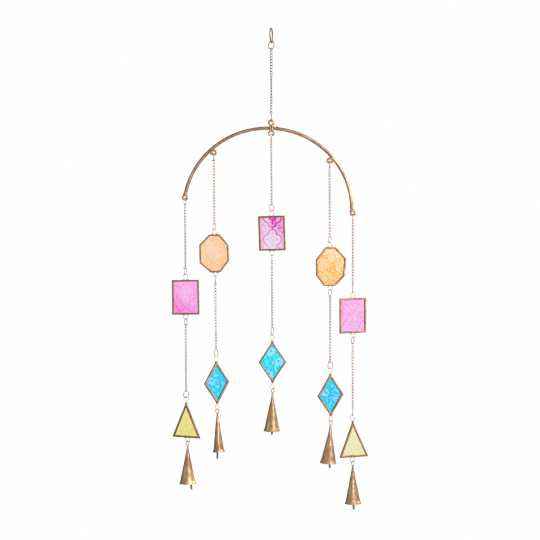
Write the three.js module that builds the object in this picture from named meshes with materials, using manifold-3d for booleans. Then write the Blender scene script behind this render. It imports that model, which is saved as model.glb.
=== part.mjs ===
/*
 Hanging bell decoration. A brass rod bent to an arch hangs from a ring and a chain, and carries five strands.
 Each strand is a chain, a glass panel in a brass channel, a second chain, a second panel and a bell.
 Millimetres, +Z up, X to the right, the front towards -Y.
 The origin is inside the top of the hanging ring, where a hook bears.
*/
import * as THREE from 'three';
import { mergeVertices } from 'three/addons/utils/BufferGeometryUtils.js';
import Module from 'manifold-3d';

const wasm = await Module();
wasm.setup();

// Clearance between pieces that touch on the real object.
const GAP = 0.3;

// Hanging ring and the jump ring below it: outside diameter, wire and turn about the vertical in degrees.
const HANG_RING_DIAMETER = 22.5;
const HANG_RING_WIRE = 2.1;
const HANG_RING_TURN = 80;
const JUMP_RING_DIAMETER = 12.8;
const JUMP_RING_WIRE = 1.15;
const JUMP_RING_TURN = 46;

// Curb chain: one scallop of the fused chain is one link.
const CHAIN_PITCH = 4.15;
const CHAIN_WIDTH = 3.9;
const CHAIN_THICKNESS = 2.2;
const CHAIN_NECK_WIDTH = 2.5;
const CHAIN_NECK_THICKNESS = 1.7;
const CHAIN_LINK_WIRE = 0.95;
const CHAIN_LINK_WIDTH = 4.2;
const CHAIN_LINK_HEIGHT = 5.6;

// Oval and round links that join the chains to what they carry.
const CONNECTOR_WIRE = 1.1;
const CONNECTOR_WIDTH = 7.8;
const ROUND_CONNECTOR_WIDTH = 10.4;

// Arch: half an ellipse of round rod. It hangs a little off its middle, so its ends stand at two heights.
const ARCH_ROD = 4.8;
const ARCH_HALF_WIDTH = 121.9;
const ARCH_RISE = 117.5;
const ARCH_SIDE_SHIFT = -5.1;
const ARCH_RIGHT_END = -0.7;
const ARCH_LEFT_END = 169.7;

// Eyes: loops of thinner rod brazed on the front of the arch. Radii are of the rod's centre line.
const EYE_ROD = 2.8;
const DOUBLE_EYE_RADIUS = 3.5;
const DOUBLE_EYE_SPACING = 15.4;
const SIDE_EYE_RADIUS = 3.15;
const INNER_EYE_DROP = 6.4;
const INNER_EYE_TAIL = 6.4;
const END_EYE_DROP = 4.4;
const END_EYE_TAIL = 5.2;
const LEFT_INNER_EYE_AT = 132.6;
const RIGHT_INNER_EYE_AT = 39.2;
const END_EYE_SIDE_SHIFT = 1.4;

// Panels: flat glass held in the groove of a brass channel.
const GLASS_THICKNESS = 3.0;
const CHANNEL_WALL = 0.7;
const CHANNEL_FACE = 2.3;
const CHANNEL_DEPTH = GLASS_THICKNESS + 2 * GAP + 2 * CHANNEL_WALL;

// Tinned wire loops soldered to the channel. Their ends are sunk into the brass.
const LOOP_WIRE = 0.9;
const LOOP_WIDTH = 7.6;
const LOOP_SINK = 0.6;
const DROP_LOOP_WIDTH = 7.2;
const DROP_LOOP_SINK = 0.9;
const DROP_LOOP_PINCH = 0.45;

// Half-length of the level part at an oval link's ends, as a share of its half-width.
const LINK_SHOULDER = 0.6;

// Bells: rolled from thin sheet, round at the neck and flattened to an oval at the mouth.
const BELL_HEIGHT = 55;
const BELL_WALL = 0.7;
const MOUTH_WIDTH = 24.8;
const MOUTH_DEPTH = 17.2;
const NECK_LENGTH = 6.0;
const NECK_SWELL = 0.3;
const LIP_HEIGHT = 4.0;
const LIP_FLARE = 1.3;
const RIM_SAG = 0.7;

// Hangers: one wire with a loop above the bell and a smaller loop inside it, which carries the clapper.
const HANGER_WIRE = 0.95;
const HANGER_WIDTH = 6.2;
const HANGER_HEIGHT = 7.5;
const INNER_LOOP = 4.0;
const CLAPPER_ROD = 2.8;
const CLAPPER_EYE = 3.8;

// Facets round a wire or rod, and steps along the curved ones.
const CHAIN_SIDES = 3;
const WIRE_SIDES = 4;
const LINK_STEPS = 6;
const RING_SIDES = 5;
const HANG_RING_STEPS = 18;
const JUMP_RING_STEPS = 10;
const ROD_SIDES = 6;
const ARCH_STEPS = 28;
const EYE_SIDES = 5;
const DOUBLE_EYE_STEPS = 22;
const SIDE_EYE_STEPS = 10;
const BELL_SIDES = 12;

const NECK_WIDTH = HANGER_WIRE + 2 * GAP + 2 * BELL_WALL;
const CUT_MARGIN = 1;
const WELD_DISTANCE = 1e-4;
const ROOM_STEP = 0.1;

/*
 Outlines of the hand-cut panels, clockwise from the top left.
 Each corner is a share of the panel's width from its hanging line, and a share of its height below the top.
*/
const SQUARE_LEFT = [[-0.498, 0.006], [0.49, 0], [0.506, 1], [-0.494, 1]];
const SQUARE_CENTRE = [[-0.495, 0.009], [0.478, -0.009], [0.505, 0.99], [-0.457, 1.002]];
const SQUARE_RIGHT = [[-0.502, 0.014], [0.498, -0.01], [0.498, 0.985], [-0.498, 1.012]];
const OCTAGON_LEFT = [[-0.188, 0], [0.178, 0], [0.463, 0.276], [0.48, 0.695],
  [0.191, 0.992], [-0.134, 1.005], [-0.513, 0.747], [-0.52, 0.274]];
const OCTAGON_RIGHT = [[-0.138, 0.002], [0.19, -0.002], [0.536, 0.289], [0.49, 0.732],
  [0.196, 0.972], [-0.184, 0.99], [-0.455, 0.72], [-0.465, 0.318]];
const DIAMOND_LEFT = [[0, 0], [0.508, 0.483], [0.03, 1], [-0.492, 0.524]];
const DIAMOND_CENTRE = [[0, 0], [0.503, 0.497], [0, 1], [-0.497, 0.509]];
const DIAMOND_RIGHT = [[0, 0], [0.504, 0.483], [0.01, 1], [-0.496, 0.531]];
const TRIANGLE_LEFT = [[0, 0], [0.505, 1.014], [-0.495, 0.966]];
const TRIANGLE_RIGHT = [[0, 0], [0.54, 0.977], [-0.46, 1.014]];

/*
 The five strands from left to right.
 lean: degrees off plumb, to the right going down. A run is one chain: its links, the height of the connector at each
 end, how far each connector is turned about the vertical, and the chain's own turn at shares of its length.
 A panel has its size, its turn, and the height of the loop above and below it; foot is how far its lower loop stands
 to the right. A bell has its turn and lean, its hanger's turn, and how far the clapper shows below the rim and swings.
*/
const STRANDS = [
  {
    name: 'outer_left',
    lean: 0.3,
    upperRun: {
      links: 22, tops: 11.2, ends: 11, topTurn: 68, endTurn: 70,
      twist: [[0, -25], [0.3, -30], [0.6, -55], [1, -60]],
    },
    upperPanel: {
      name: 'pink', outline: SQUARE_LEFT, width: 39.5, height: 50.3, turn: 0,
      loopAbove: 9.1, loopBelow: 7.4, foot: 0,
    },
    lowerRun: {
      links: 23, tops: 10.8, ends: 10.8, topTurn: 61, endTurn: 40, round: true,
      twist: [[0, -40], [0.3, -45], [0.5, -52], [1, -54]],
    },
    lowerPanel: {
      name: 'yellow', outline: TRIANGLE_LEFT, width: 41, height: 50.9, turn: -10,
      loopAbove: 9, loopBelow: 6.6, foot: 1.9,
    },
    bell: { turn: 8, lean: -0.3, hangerTurn: 45, clapperShows: 8.3, swing: 7 },
  },
  {
    name: 'inner_left',
    lean: 0.55,
    upperRun: {
      links: 22, tops: 11.8, ends: 10.5, topTurn: 85, endTurn: 58,
      twist: [[0, -35], [1, -30]],
    },
    upperPanel: {
      name: 'orange', outline: OCTAGON_LEFT, width: 43, height: 54.9, turn: 5,
      loopAbove: 8.2, loopBelow: 6.4, foot: 0.6,
    },
    lowerRun: {
      links: 23, tops: 12.3, ends: 11.7, topTurn: 88, endTurn: 49,
      twist: [[0, -40], [1, -30]],
    },
    lowerPanel: {
      name: 'blue', outline: DIAMOND_LEFT, width: 37.8, height: 60.9, turn: 22,
      loopAbove: 9.4, loopBelow: 9.5, foot: 0.9,
    },
    bell: { turn: 84, lean: 1.6, hangerTurn: -30, clapperShows: 10, swing: -3 },
  },
  {
    name: 'centre',
    lean: 0.25,
    upperRun: {
      links: 23, tops: 8, ends: 10.2, topTurn: 88, endTurn: 42, round: true,
      twist: [[0, -50], [0.5, -60], [1, -55]],
    },
    upperPanel: {
      name: 'rose', outline: SQUARE_CENTRE, width: 39.9, height: 50.4, turn: -6,
      loopAbove: 8.8, loopBelow: 8.1, foot: 0.2,
    },
    lowerRun: {
      links: 23, tops: 10.2, ends: 13, topTurn: 90, endTurn: 61,
      twist: [[0, -35], [0.5, -50], [0.75, -45], [1, -60]],
    },
    lowerPanel: {
      name: 'blue', outline: DIAMOND_CENTRE, width: 40.5, height: 59.8, turn: 3,
      loopAbove: 10.6, loopBelow: 10.3, foot: 0.1,
    },
    bell: { turn: 4, lean: -1.5, hangerTurn: -46, clapperShows: 4.5, swing: 0.5 },
  },
  {
    name: 'inner_right',
    lean: 0.2,
    upperRun: {
      links: 24, tops: 10.4, ends: 10.4, topTurn: 80, endTurn: 52,
      twist: [[0, -40], [0.4, -55], [0.75, -45], [1, -30]],
    },
    upperPanel: {
      name: 'orange', outline: OCTAGON_RIGHT, width: 44.2, height: 57, turn: 8,
      loopAbove: 8.1, loopBelow: 7.2, foot: 0.1,
    },
    lowerRun: {
      links: 23, tops: 10.8, ends: 10.8, topTurn: 49, endTurn: 38, round: true,
      twist: [[0, -58], [0.25, -58], [0.45, -40], [0.8, -35], [1, -55]],
    },
    lowerPanel: {
      name: 'blue', outline: DIAMOND_RIGHT, width: 38.8, height: 59.9, turn: 14,
      loopAbove: 9.9, loopBelow: 9.2, foot: 0.4,
    },
    bell: { turn: -6, lean: -3.9, hangerTurn: -40, clapperShows: 6, swing: 3.5 },
  },
  {
    name: 'outer_right',
    lean: 0,
    upperRun: {
      links: 23, tops: 11.9, ends: 10.2, topTurn: 85, endTurn: 85,
      twist: [[0, -53], [1, -51]],
    },
    upperPanel: {
      name: 'pink', outline: SQUARE_RIGHT, width: 38.9, height: 50.6, turn: 8,
      loopAbove: 9, loopBelow: 7.3, foot: -0.1,
    },
    lowerRun: {
      links: 23, tops: 11.2, ends: 10.6, topTurn: 49, endTurn: 85,
      twist: [[0, -35], [0.35, -40], [0.55, -52], [1, -54]],
    },
    lowerPanel: {
      name: 'yellow', outline: TRIANGLE_RIGHT, width: 41.9, height: 51.8, turn: 8,
      loopAbove: 9.4, loopBelow: 7.4, foot: -0.1,
    },
    bell: { turn: 12, lean: 0.3, hangerTurn: -49, clapperShows: 7.8, swing: 1.3 },
  },
];

const TOP_RUN = {
  links: 22, ends: 11.9, topTurn: 45, endTurn: 90,
  twist: [[0, 0], [0.3, -10], [0.42, -55], [0.65, -60], [0.8, -40], [1, -30]],
};

const BRASS_TONES = {
  arch: 0xa8744a,
  eye: 0xa06d44,
  ring: 0xa37c58,
  chain: 0xa58468,
  frame: 0x8d6238,
  bell: 0xa9764a,
  clapper: 0x7d532e,
};
const GLASS_TONES = { pink: 0xf7a2ea, rose: 0xeec2ea, orange: 0xfacd9a, blue: 0x35c9f5, yellow: 0xe6e27e };

const root = new THREE.Group();

function brass(tone) {
  return new THREE.MeshStandardMaterial({ color: BRASS_TONES[tone], roughness: 0.38, metalness: 1 });
}

function glass(tone) {
  return new THREE.MeshStandardMaterial({
    color: GLASS_TONES[tone], roughness: 0.12, metalness: 0, transparent: true, opacity: 0.6,
  });
}

function radians(degrees) {
  return THREE.MathUtils.degToRad(degrees);
}

function signedVolume(positions, indices) {
  const corners = [new THREE.Vector3(), new THREE.Vector3(), new THREE.Vector3()];
  let total = 0;
  for (let start = 0; start < indices.length; start += 3) {
    corners.forEach((corner, offset) => corner.fromArray(positions, 3 * indices[start + offset]));
    total += corners[0].dot(corners[1].cross(corners[2])) / 6;
  }
  return total;
}

// Turns a closed three.js geometry into a solid whose faces point outwards.
function solidOf(geometry) {
  const bare = geometry.clone();
  bare.deleteAttribute('normal');
  bare.deleteAttribute('uv');
  const welded = mergeVertices(bare, WELD_DISTANCE);
  const vertProperties = new Float32Array(welded.attributes.position.array);
  const triVerts = new Uint32Array(welded.index.array);
  if (signedVolume(vertProperties, triVerts) < 0) {
    triVerts.reverse();
  }
  return new wasm.Manifold(new wasm.Mesh({ numProp: 3, vertProperties, triVerts }));
}

function addPiece(group, name, solid, material) {
  const { vertProperties, triVerts } = solid.getMesh();
  const geometry = new THREE.BufferGeometry();
  geometry.setAttribute('position', new THREE.BufferAttribute(vertProperties, 3));
  geometry.setIndex(new THREE.BufferAttribute(triVerts, 1));
  geometry.computeVertexNormals();
  const piece = new THREE.Mesh(geometry, material);
  piece.name = name;
  group.add(piece);
}

// Moves every vertex of a geometry by a function of its place.
function reshape(geometry, move) {
  const places = geometry.attributes.position;
  const place = new THREE.Vector3();
  for (let index = 0; index < places.count; index += 1) {
    place.fromBufferAttribute(places, index);
    move(place);
    places.setXYZ(index, place.x, place.y, place.z);
  }
  return geometry;
}

// Round section of a rod, as a shape with flat sides.
function roundSection(diameter, sides) {
  const corners = Array.from({ length: sides }, (unused, index) => {
    const angle = (2 * Math.PI * index) / sides;
    return new THREE.Vector2(Math.cos(angle), Math.sin(angle)).multiplyScalar(diameter / 2);
  });
  return new THREE.Shape(corners);
}

function rodAlong(curve, diameter, sides, steps) {
  const section = roundSection(diameter, sides);
  const geometry = new THREE.ExtrudeGeometry(section, { steps, extrudePath: curve, bevelEnabled: false });
  return solidOf(geometry);
}

function ringSolid(diameter, wire, sides, steps, turn) {
  const geometry = new THREE.TorusGeometry((diameter - wire) / 2, wire / 2, sides, steps);
  geometry.scale(1, 1 / Math.cos(Math.PI / steps), 1);
  geometry.rotateX(Math.PI / 2);
  geometry.rotateZ(radians(turn));
  return solidOf(geometry);
}

// Oval wire link, upright and centred, with its ends at half its height above and below the origin.
// pinch narrows its lower half to the shape of a drop.
function ovalLink(width, height, wire, turn, pinch = 1) {
  const geometry = new THREE.TorusGeometry((width - wire) / 2, wire / 2, WIRE_SIDES, LINK_STEPS);
  const shoulder = LINK_SHOULDER / Math.cos(Math.PI / 3);
  const lift = (height - width) / 2;
  const nearMiddle = wire / 4;
  reshape(geometry, (place) => {
    if (Math.abs(place.y) > nearMiddle) {
      place.x *= place.y < 0 ? shoulder * pinch : shoulder;
      place.y /= Math.sin(Math.PI / 3);
      place.y += Math.sign(place.y) * lift;
    }
  });
  geometry.rotateX(Math.PI / 2);
  geometry.rotateZ(radians(turn));
  return geometry;
}

function linkBetween(top, width, height, wire, turn) {
  return solidOf(ovalLink(width, height, wire, turn).translate(0, 0, top - height / 2));
}

function twistAt(twist, share) {
  const next = Math.max(1, twist.findIndex(([place]) => place >= share));
  const [fromPlace, fromTurn] = twist[next - 1];
  const [toPlace, toTurn] = twist[next];
  return THREE.MathUtils.lerp(fromTurn, toTurn, (share - fromPlace) / (toPlace - fromPlace));
}

// Fused curb chain, from its top at zero downwards: wide at each link's middle and narrow where links meet.
// Its section is a flat triangle with the ridge to the front.
function chainStrip(links, twist) {
  const length = links * CHAIN_PITCH;
  const geometry = new THREE.CylinderGeometry(1, 1, length, CHAIN_SIDES, 2 * links);
  geometry.rotateX(Math.PI / 2);
  geometry.center();
  const section = geometry.boundingBox.getSize(new THREE.Vector3());
  geometry.translate(0, 0, -length / 2);
  const axis = new THREE.Vector3(0, 0, 1);
  reshape(geometry, (place) => {
    const neck = Math.round((-2 * place.z) / CHAIN_PITCH) % 2 === 0;
    place.x *= (neck ? CHAIN_NECK_WIDTH : CHAIN_WIDTH) / section.x;
    place.y *= (neck ? CHAIN_NECK_THICKNESS : CHAIN_THICKNESS) / section.y;
    place.applyAxisAngle(axis, radians(twistAt(twist, Math.min(1, Math.max(0, -place.z / length)))));
  });
  return solidOf(geometry);
}

/*
 One chain with the connector at each end. It hangs on a wire whose upper face is at zero.
 rest is the height of the upper face of its lowest wire, on which the next piece hangs.
*/
function chainRun(run, topWidth, topHeight, topWire, topTurn) {
  const topLevel = GAP + topWire;
  const stripTop = topLevel - topHeight + topWire / 2;
  const stripEnd = stripTop - run.links * CHAIN_PITCH;
  const endTop = stripEnd + CONNECTOR_WIRE / 2;
  const endWidth = run.round ? ROUND_CONNECTOR_WIDTH : CONNECTOR_WIDTH;
  const solid = linkBetween(topLevel, topWidth, topHeight, topWire, topTurn)
    .add(chainStrip(run.links, run.twist).translate([0, 0, stripTop]))
    .add(linkBetween(endTop, endWidth, run.ends, CONNECTOR_WIRE, run.endTurn));
  return { solid, rest: endTop - run.ends + CONNECTOR_WIRE };
}

function outlineOf(panel) {
  return panel.outline.map(([across, down]) => new THREE.Vector2(across * panel.width, -down * panel.height));
}

// The outline moved inwards by a distance, with its corners mitred. The outline runs clockwise.
function inset(outline, distance) {
  return outline.map((corner, index) => {
    const before = outline[(index + outline.length - 1) % outline.length];
    const after = outline[(index + 1) % outline.length];
    const arriving = corner.clone().sub(before).normalize();
    const leaving = after.clone().sub(corner).normalize();
    const inward = new THREE.Vector2(arriving.y + leaving.y, -arriving.x - leaving.x);
    const spread = 1 + arriving.dot(leaving);
    return corner.clone().addScaledVector(inward, distance / spread);
  });
}

function slab(outline, thickness) {
  const geometry = new THREE.ExtrudeGeometry(new THREE.Shape(outline), { depth: thickness, bevelEnabled: false });
  geometry.rotateX(Math.PI / 2);
  geometry.translate(0, thickness / 2, 0);
  return solidOf(geometry);
}

// Height of the outline's edge on its hanging line, at its top or its foot.
function edgeLevel(outline, across, sign) {
  const levels = [];
  outline.forEach((corner, index) => {
    const after = outline[(index + 1) % outline.length];
    const low = Math.min(corner.x, after.x);
    const high = Math.max(corner.x, after.x);
    if (across >= low && across <= high && high > low) {
      levels.push(THREE.MathUtils.lerp(corner.y, after.y, (across - corner.x) / (after.x - corner.x)));
    }
  });
  return sign * Math.max(...levels.map((level) => sign * level));
}

// A soldered loop that stands on an edge. sign is 1 above the panel and -1 below it.
function solderedLoop(panel, across, level, rise, sign) {
  const pointed = panel.outline[0][0] === 0 && (sign > 0 || panel.outline.length === 4);
  const sink = pointed ? DROP_LOOP_SINK : LOOP_SINK;
  const width = pointed ? DROP_LOOP_WIDTH : LOOP_WIDTH;
  const height = rise + sink;
  const geometry = ovalLink(width, height, LOOP_WIRE, 0, pointed ? DROP_LOOP_PINCH : 1);
  if (sign < 0) {
    geometry.rotateY(Math.PI);
  }
  geometry.translate(across, 0, level + sign * (rise - height / 2));
  return solidOf(geometry);
}

/*
 A glass panel in its channel, with its top edge at zero on its hanging line.
 rest is the level of the wire face on which the next piece hangs.
*/
function panelPieces(panel) {
  const outline = outlineOf(panel);
  const above = edgeLevel(outline, 0, 1);
  const footEdge = edgeLevel(outline, panel.foot, -1);
  const channel = slab(outline, CHANNEL_DEPTH)
    .subtract(slab(inset(outline, CHANNEL_FACE), CHANNEL_DEPTH + CUT_MARGIN))
    .subtract(slab(inset(outline, CHANNEL_WALL), GLASS_THICKNESS + 2 * GAP));
  const frame = channel
    .add(solderedLoop(panel, 0, above, panel.loopAbove, 1))
    .add(solderedLoop(panel, panel.foot, footEdge, panel.loopBelow, -1));
  const pane = slab(inset(outline, CHANNEL_WALL + GAP), GLASS_THICKNESS);
  return { frame, pane, above, rest: footEdge - panel.loopBelow + LOOP_WIRE };
}

// Outside half-width of a bell at a depth below its apex.
function bellRadius(depth) {
  const lipTop = BELL_HEIGHT - LIP_HEIGHT;
  const bodyRadius = MOUTH_WIDTH / 2 - LIP_FLARE;
  const neckFoot = NECK_WIDTH / 2 + NECK_SWELL;
  if (depth <= NECK_LENGTH) {
    return NECK_WIDTH / 2 + (NECK_SWELL * depth) / NECK_LENGTH;
  }
  if (depth <= lipTop) {
    return THREE.MathUtils.mapLinear(depth, NECK_LENGTH, lipTop, neckFoot, bodyRadius);
  }
  return bodyRadius + LIP_FLARE * ((depth - lipTop) / LIP_HEIGHT);
}

// How much less the bell's half-depth is than its half-width. It grows evenly from the neck to the mouth.
function flatteningAt(depth) {
  const share = Math.max(0, depth - NECK_LENGTH) / (BELL_HEIGHT - NECK_LENGTH);
  return ((MOUTH_WIDTH - MOUTH_DEPTH) / 2) * share;
}

function bellSolid() {
  const lipTop = BELL_HEIGHT - LIP_HEIGHT;
  const levels = [0, NECK_LENGTH, lipTop, BELL_HEIGHT];
  const outside = levels.map((depth) => new THREE.Vector2(bellRadius(depth), -depth));
  const inside = levels.map((depth) => new THREE.Vector2(bellRadius(depth) - BELL_WALL, -depth)).reverse();
  const profile = [...outside, ...inside, outside[0].clone()];
  const geometry = new THREE.LatheGeometry(profile, BELL_SIDES);
  geometry.rotateX(Math.PI / 2);
  reshape(geometry, (place) => {
    const depth = -place.z;
    const radius = Math.hypot(place.x, place.y);
    const side = (place.x / radius) ** 2;
    place.y *= (radius - flatteningAt(depth)) / radius;
    place.z += RIM_SAG * side * (depth / BELL_HEIGHT) ** 2;
  });
  return solidOf(geometry);
}

// Half the clear width inside the bell at a depth, across its flattened sides.
function roomAt(depth) {
  return (bellRadius(depth) - BELL_WALL - flatteningAt(depth)) * Math.cos(Math.PI / BELL_SIDES);
}

// Depth inside the bell at which a thing of the given half-width still has its clearance all round.
function depthWithRoom(halfWidth) {
  let depth = NECK_LENGTH;
  while (roomAt(depth) < halfWidth + GAP && depth < BELL_HEIGHT) {
    depth += ROOM_STEP;
  }
  return depth;
}

/*
 A bell with its hanger and clapper. The hanger's loop hangs on a wire whose upper face is at zero.
*/
function addBell(group, name, bell) {
  const loopTop = GAP + HANGER_WIRE;
  const loopFoot = loopTop - HANGER_HEIGHT;
  const apex = loopFoot - GAP;
  const innerCentre = apex - depthWithRoom(INNER_LOOP / 2);
  const innerFoot = innerCentre - INNER_LOOP / 2;
  const stemTop = loopFoot + HANGER_WIRE / 2;
  const stemFoot = innerCentre + (INNER_LOOP - HANGER_WIRE) / 2;
  const stem = new THREE.CylinderGeometry(HANGER_WIRE / 2, HANGER_WIRE / 2, stemTop - stemFoot, WIRE_SIDES);
  stem.rotateX(Math.PI / 2);
  stem.translate(0, 0, (stemTop + stemFoot) / 2);
  const hanger = linkBetween(loopTop, HANGER_WIDTH, HANGER_HEIGHT, HANGER_WIRE, bell.hangerTurn)
    .add(solidOf(stem))
    .add(linkBetween(innerCentre + INNER_LOOP / 2, INNER_LOOP, INNER_LOOP, HANGER_WIRE, bell.hangerTurn));

  const assembly = new THREE.Group();
  assembly.rotation.y = -radians(bell.lean);
  group.add(assembly);
  addPiece(assembly, `${name}_bell_hanger`, hanger, brass('ring'));

  const shell = new THREE.Group();
  shell.position.z = apex;
  shell.rotation.z = radians(bell.turn);
  assembly.add(shell);
  addPiece(shell, `${name}_bell`, bellSolid(), brass('bell'));

  const pivot = innerFoot + HANGER_WIRE;
  const eyeTop = GAP + HANGER_WIRE;
  const rodTop = eyeTop - CLAPPER_EYE + HANGER_WIRE / 2;
  const rodFoot = apex - BELL_HEIGHT - bell.clapperShows - pivot;
  const rod = new THREE.CylinderGeometry(CLAPPER_ROD / 2, CLAPPER_ROD / 2, rodTop - rodFoot, ROD_SIDES);
  rod.rotateX(Math.PI / 2);
  rod.translate(0, 0, (rodTop + rodFoot) / 2);
  const clapper = linkBetween(eyeTop, CLAPPER_EYE, CLAPPER_EYE, HANGER_WIRE, bell.hangerTurn + 90).add(solidOf(rod));
  const swinging = new THREE.Group();
  swinging.position.z = pivot;
  swinging.rotation.y = -radians(bell.swing);
  assembly.add(swinging);
  addPiece(swinging, `${name}_clapper`, clapper, brass('clapper'));
}

function addPanel(group, name, panel, hook) {
  const pieces = panelPieces(panel);
  const holder = new THREE.Group();
  const origin = hook.z + GAP + LOOP_WIRE - panel.loopAbove - pieces.above;
  holder.position.set(hook.x, hook.y, origin);
  holder.rotation.z = radians(panel.turn);
  group.add(holder);
  addPiece(holder, `${name}_${panel.name}_frame`, pieces.frame, brass('frame'));
  addPiece(holder, `${name}_${panel.name}_glass`, pieces.pane, glass(panel.name));
  const foot = new THREE.Vector3(panel.foot, 0, pieces.rest).applyEuler(holder.rotation);
  return foot.add(holder.position);
}

function addRun(group, name, run, hook) {
  const { solid, rest } = chainRun(run, CONNECTOR_WIDTH, run.tops, CONNECTOR_WIRE, run.topTurn);
  const holder = new THREE.Group();
  holder.position.copy(hook);
  group.add(holder);
  addPiece(holder, name, solid, brass('chain'));
  return new THREE.Vector3(hook.x, hook.y, hook.z + rest);
}

function addStrand(strand, hook) {
  const line = new THREE.Group();
  line.position.copy(hook);
  line.rotation.y = -radians(strand.lean);
  root.add(line);
  const upper = addRun(line, `${strand.name}_upper_chain`, strand.upperRun, new THREE.Vector3());
  const underUpper = addPanel(line, strand.name, strand.upperPanel, upper);
  const lower = addRun(line, `${strand.name}_lower_chain`, strand.lowerRun, underUpper);
  const underLower = addPanel(line, strand.name, strand.lowerPanel, lower);
  const bellLine = new THREE.Group();
  bellLine.position.copy(underLower);
  line.add(bellLine);
  addBell(bellLine, strand.name, strand.bell);
}

// Points on an arc in the XZ plane, from one angle to another.
function arcPoints(centre, radius, from, to, count) {
  return Array.from({ length: count }, (unused, index) => {
    const angle = radians(THREE.MathUtils.lerp(from, to, index / (count - 1)));
    return new THREE.Vector3(centre.x + radius * Math.cos(angle), 0, centre.z + radius * Math.sin(angle));
  });
}

// The two loops share one rod. Its strands pass side by side in front of the arch.
// Its ends meet under the lower loop.
function doubleEye() {
  const upper = new THREE.Vector3(0, 0, DOUBLE_EYE_SPACING / 2);
  const lower = new THREE.Vector3(0, 0, -DOUBLE_EYE_SPACING / 2);
  const strand = (EYE_ROD + GAP) / 2;
  const points = [
    ...arcPoints(lower, DOUBLE_EYE_RADIUS, 232, 150, 4),
    new THREE.Vector3(-strand, 0, 0),
    ...arcPoints(upper, DOUBLE_EYE_RADIUS, 215, -35, 9),
    new THREE.Vector3(strand, 0, 0),
    ...arcPoints(lower, DOUBLE_EYE_RADIUS, 30, -78, 5),
  ];
  return rodAlong(new THREE.CatmullRomCurve3(points), EYE_ROD, EYE_SIDES, DOUBLE_EYE_STEPS);
}

// A loop with a tail that leaves it at a tangent.
// It runs clockwise from its cut end, or the other way where side is -1.
function sideEye(side, cutAngle, leaveAngle, tail) {
  const points = arcPoints(new THREE.Vector3(), SIDE_EYE_RADIUS, cutAngle, leaveAngle, 9);
  const leaving = radians(leaveAngle - 90);
  const end = points[points.length - 1].clone();
  end.x += tail * Math.cos(leaving);
  end.z += tail * Math.sin(leaving);
  points.push(end);
  points.forEach((point) => {
    point.x *= side;
  });
  return rodAlong(new THREE.CatmullRomCurve3(points), EYE_ROD, EYE_SIDES, SIDE_EYE_STEPS);
}

// Centre line of the arch, from its right end to its left end.
class ArchLine extends THREE.Curve {
  getPoint(share, target = new THREE.Vector3()) {
    return this.at(THREE.MathUtils.lerp(ARCH_RIGHT_END, ARCH_LEFT_END, share), target);
  }

  at(degrees, target = new THREE.Vector3()) {
    const angle = radians(degrees);
    return target.set(ARCH_HALF_WIDTH * Math.cos(angle), 0, ARCH_RISE * Math.sin(angle));
  }

  inwardAt(degrees) {
    const angle = radians(degrees);
    return new THREE.Vector3(-Math.cos(angle) / ARCH_HALF_WIDTH, 0, -Math.sin(angle) / ARCH_RISE).normalize();
  }
}

function addTop() {
  const ringCentre = HANG_RING_WIRE - HANG_RING_DIAMETER / 2;
  const hangRing = ringSolid(HANG_RING_DIAMETER, HANG_RING_WIRE, RING_SIDES, HANG_RING_STEPS, HANG_RING_TURN);
  addPiece(root, 'hanging_ring', hangRing.translate([0, 0, ringCentre]), brass('ring'));

  const jumpTop = 2 * HANG_RING_WIRE - HANG_RING_DIAMETER + GAP + JUMP_RING_WIRE;
  const jumpRing = ringSolid(JUMP_RING_DIAMETER, JUMP_RING_WIRE, WIRE_SIDES, JUMP_RING_STEPS, -JUMP_RING_TURN);
  addPiece(root, 'jump_ring', jumpRing.translate([0, 0, jumpTop - JUMP_RING_DIAMETER / 2]), brass('ring'));

  const chainHook = jumpTop - JUMP_RING_DIAMETER + JUMP_RING_WIRE;
  const { solid, rest } = chainRun(
    TOP_RUN, CHAIN_LINK_WIDTH, CHAIN_LINK_HEIGHT, CHAIN_LINK_WIRE, TOP_RUN.topTurn,
  );
  addPiece(root, 'hanging_chain', solid.translate([0, 0, chainHook]), brass('chain'));
  return chainHook + rest;
}

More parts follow.
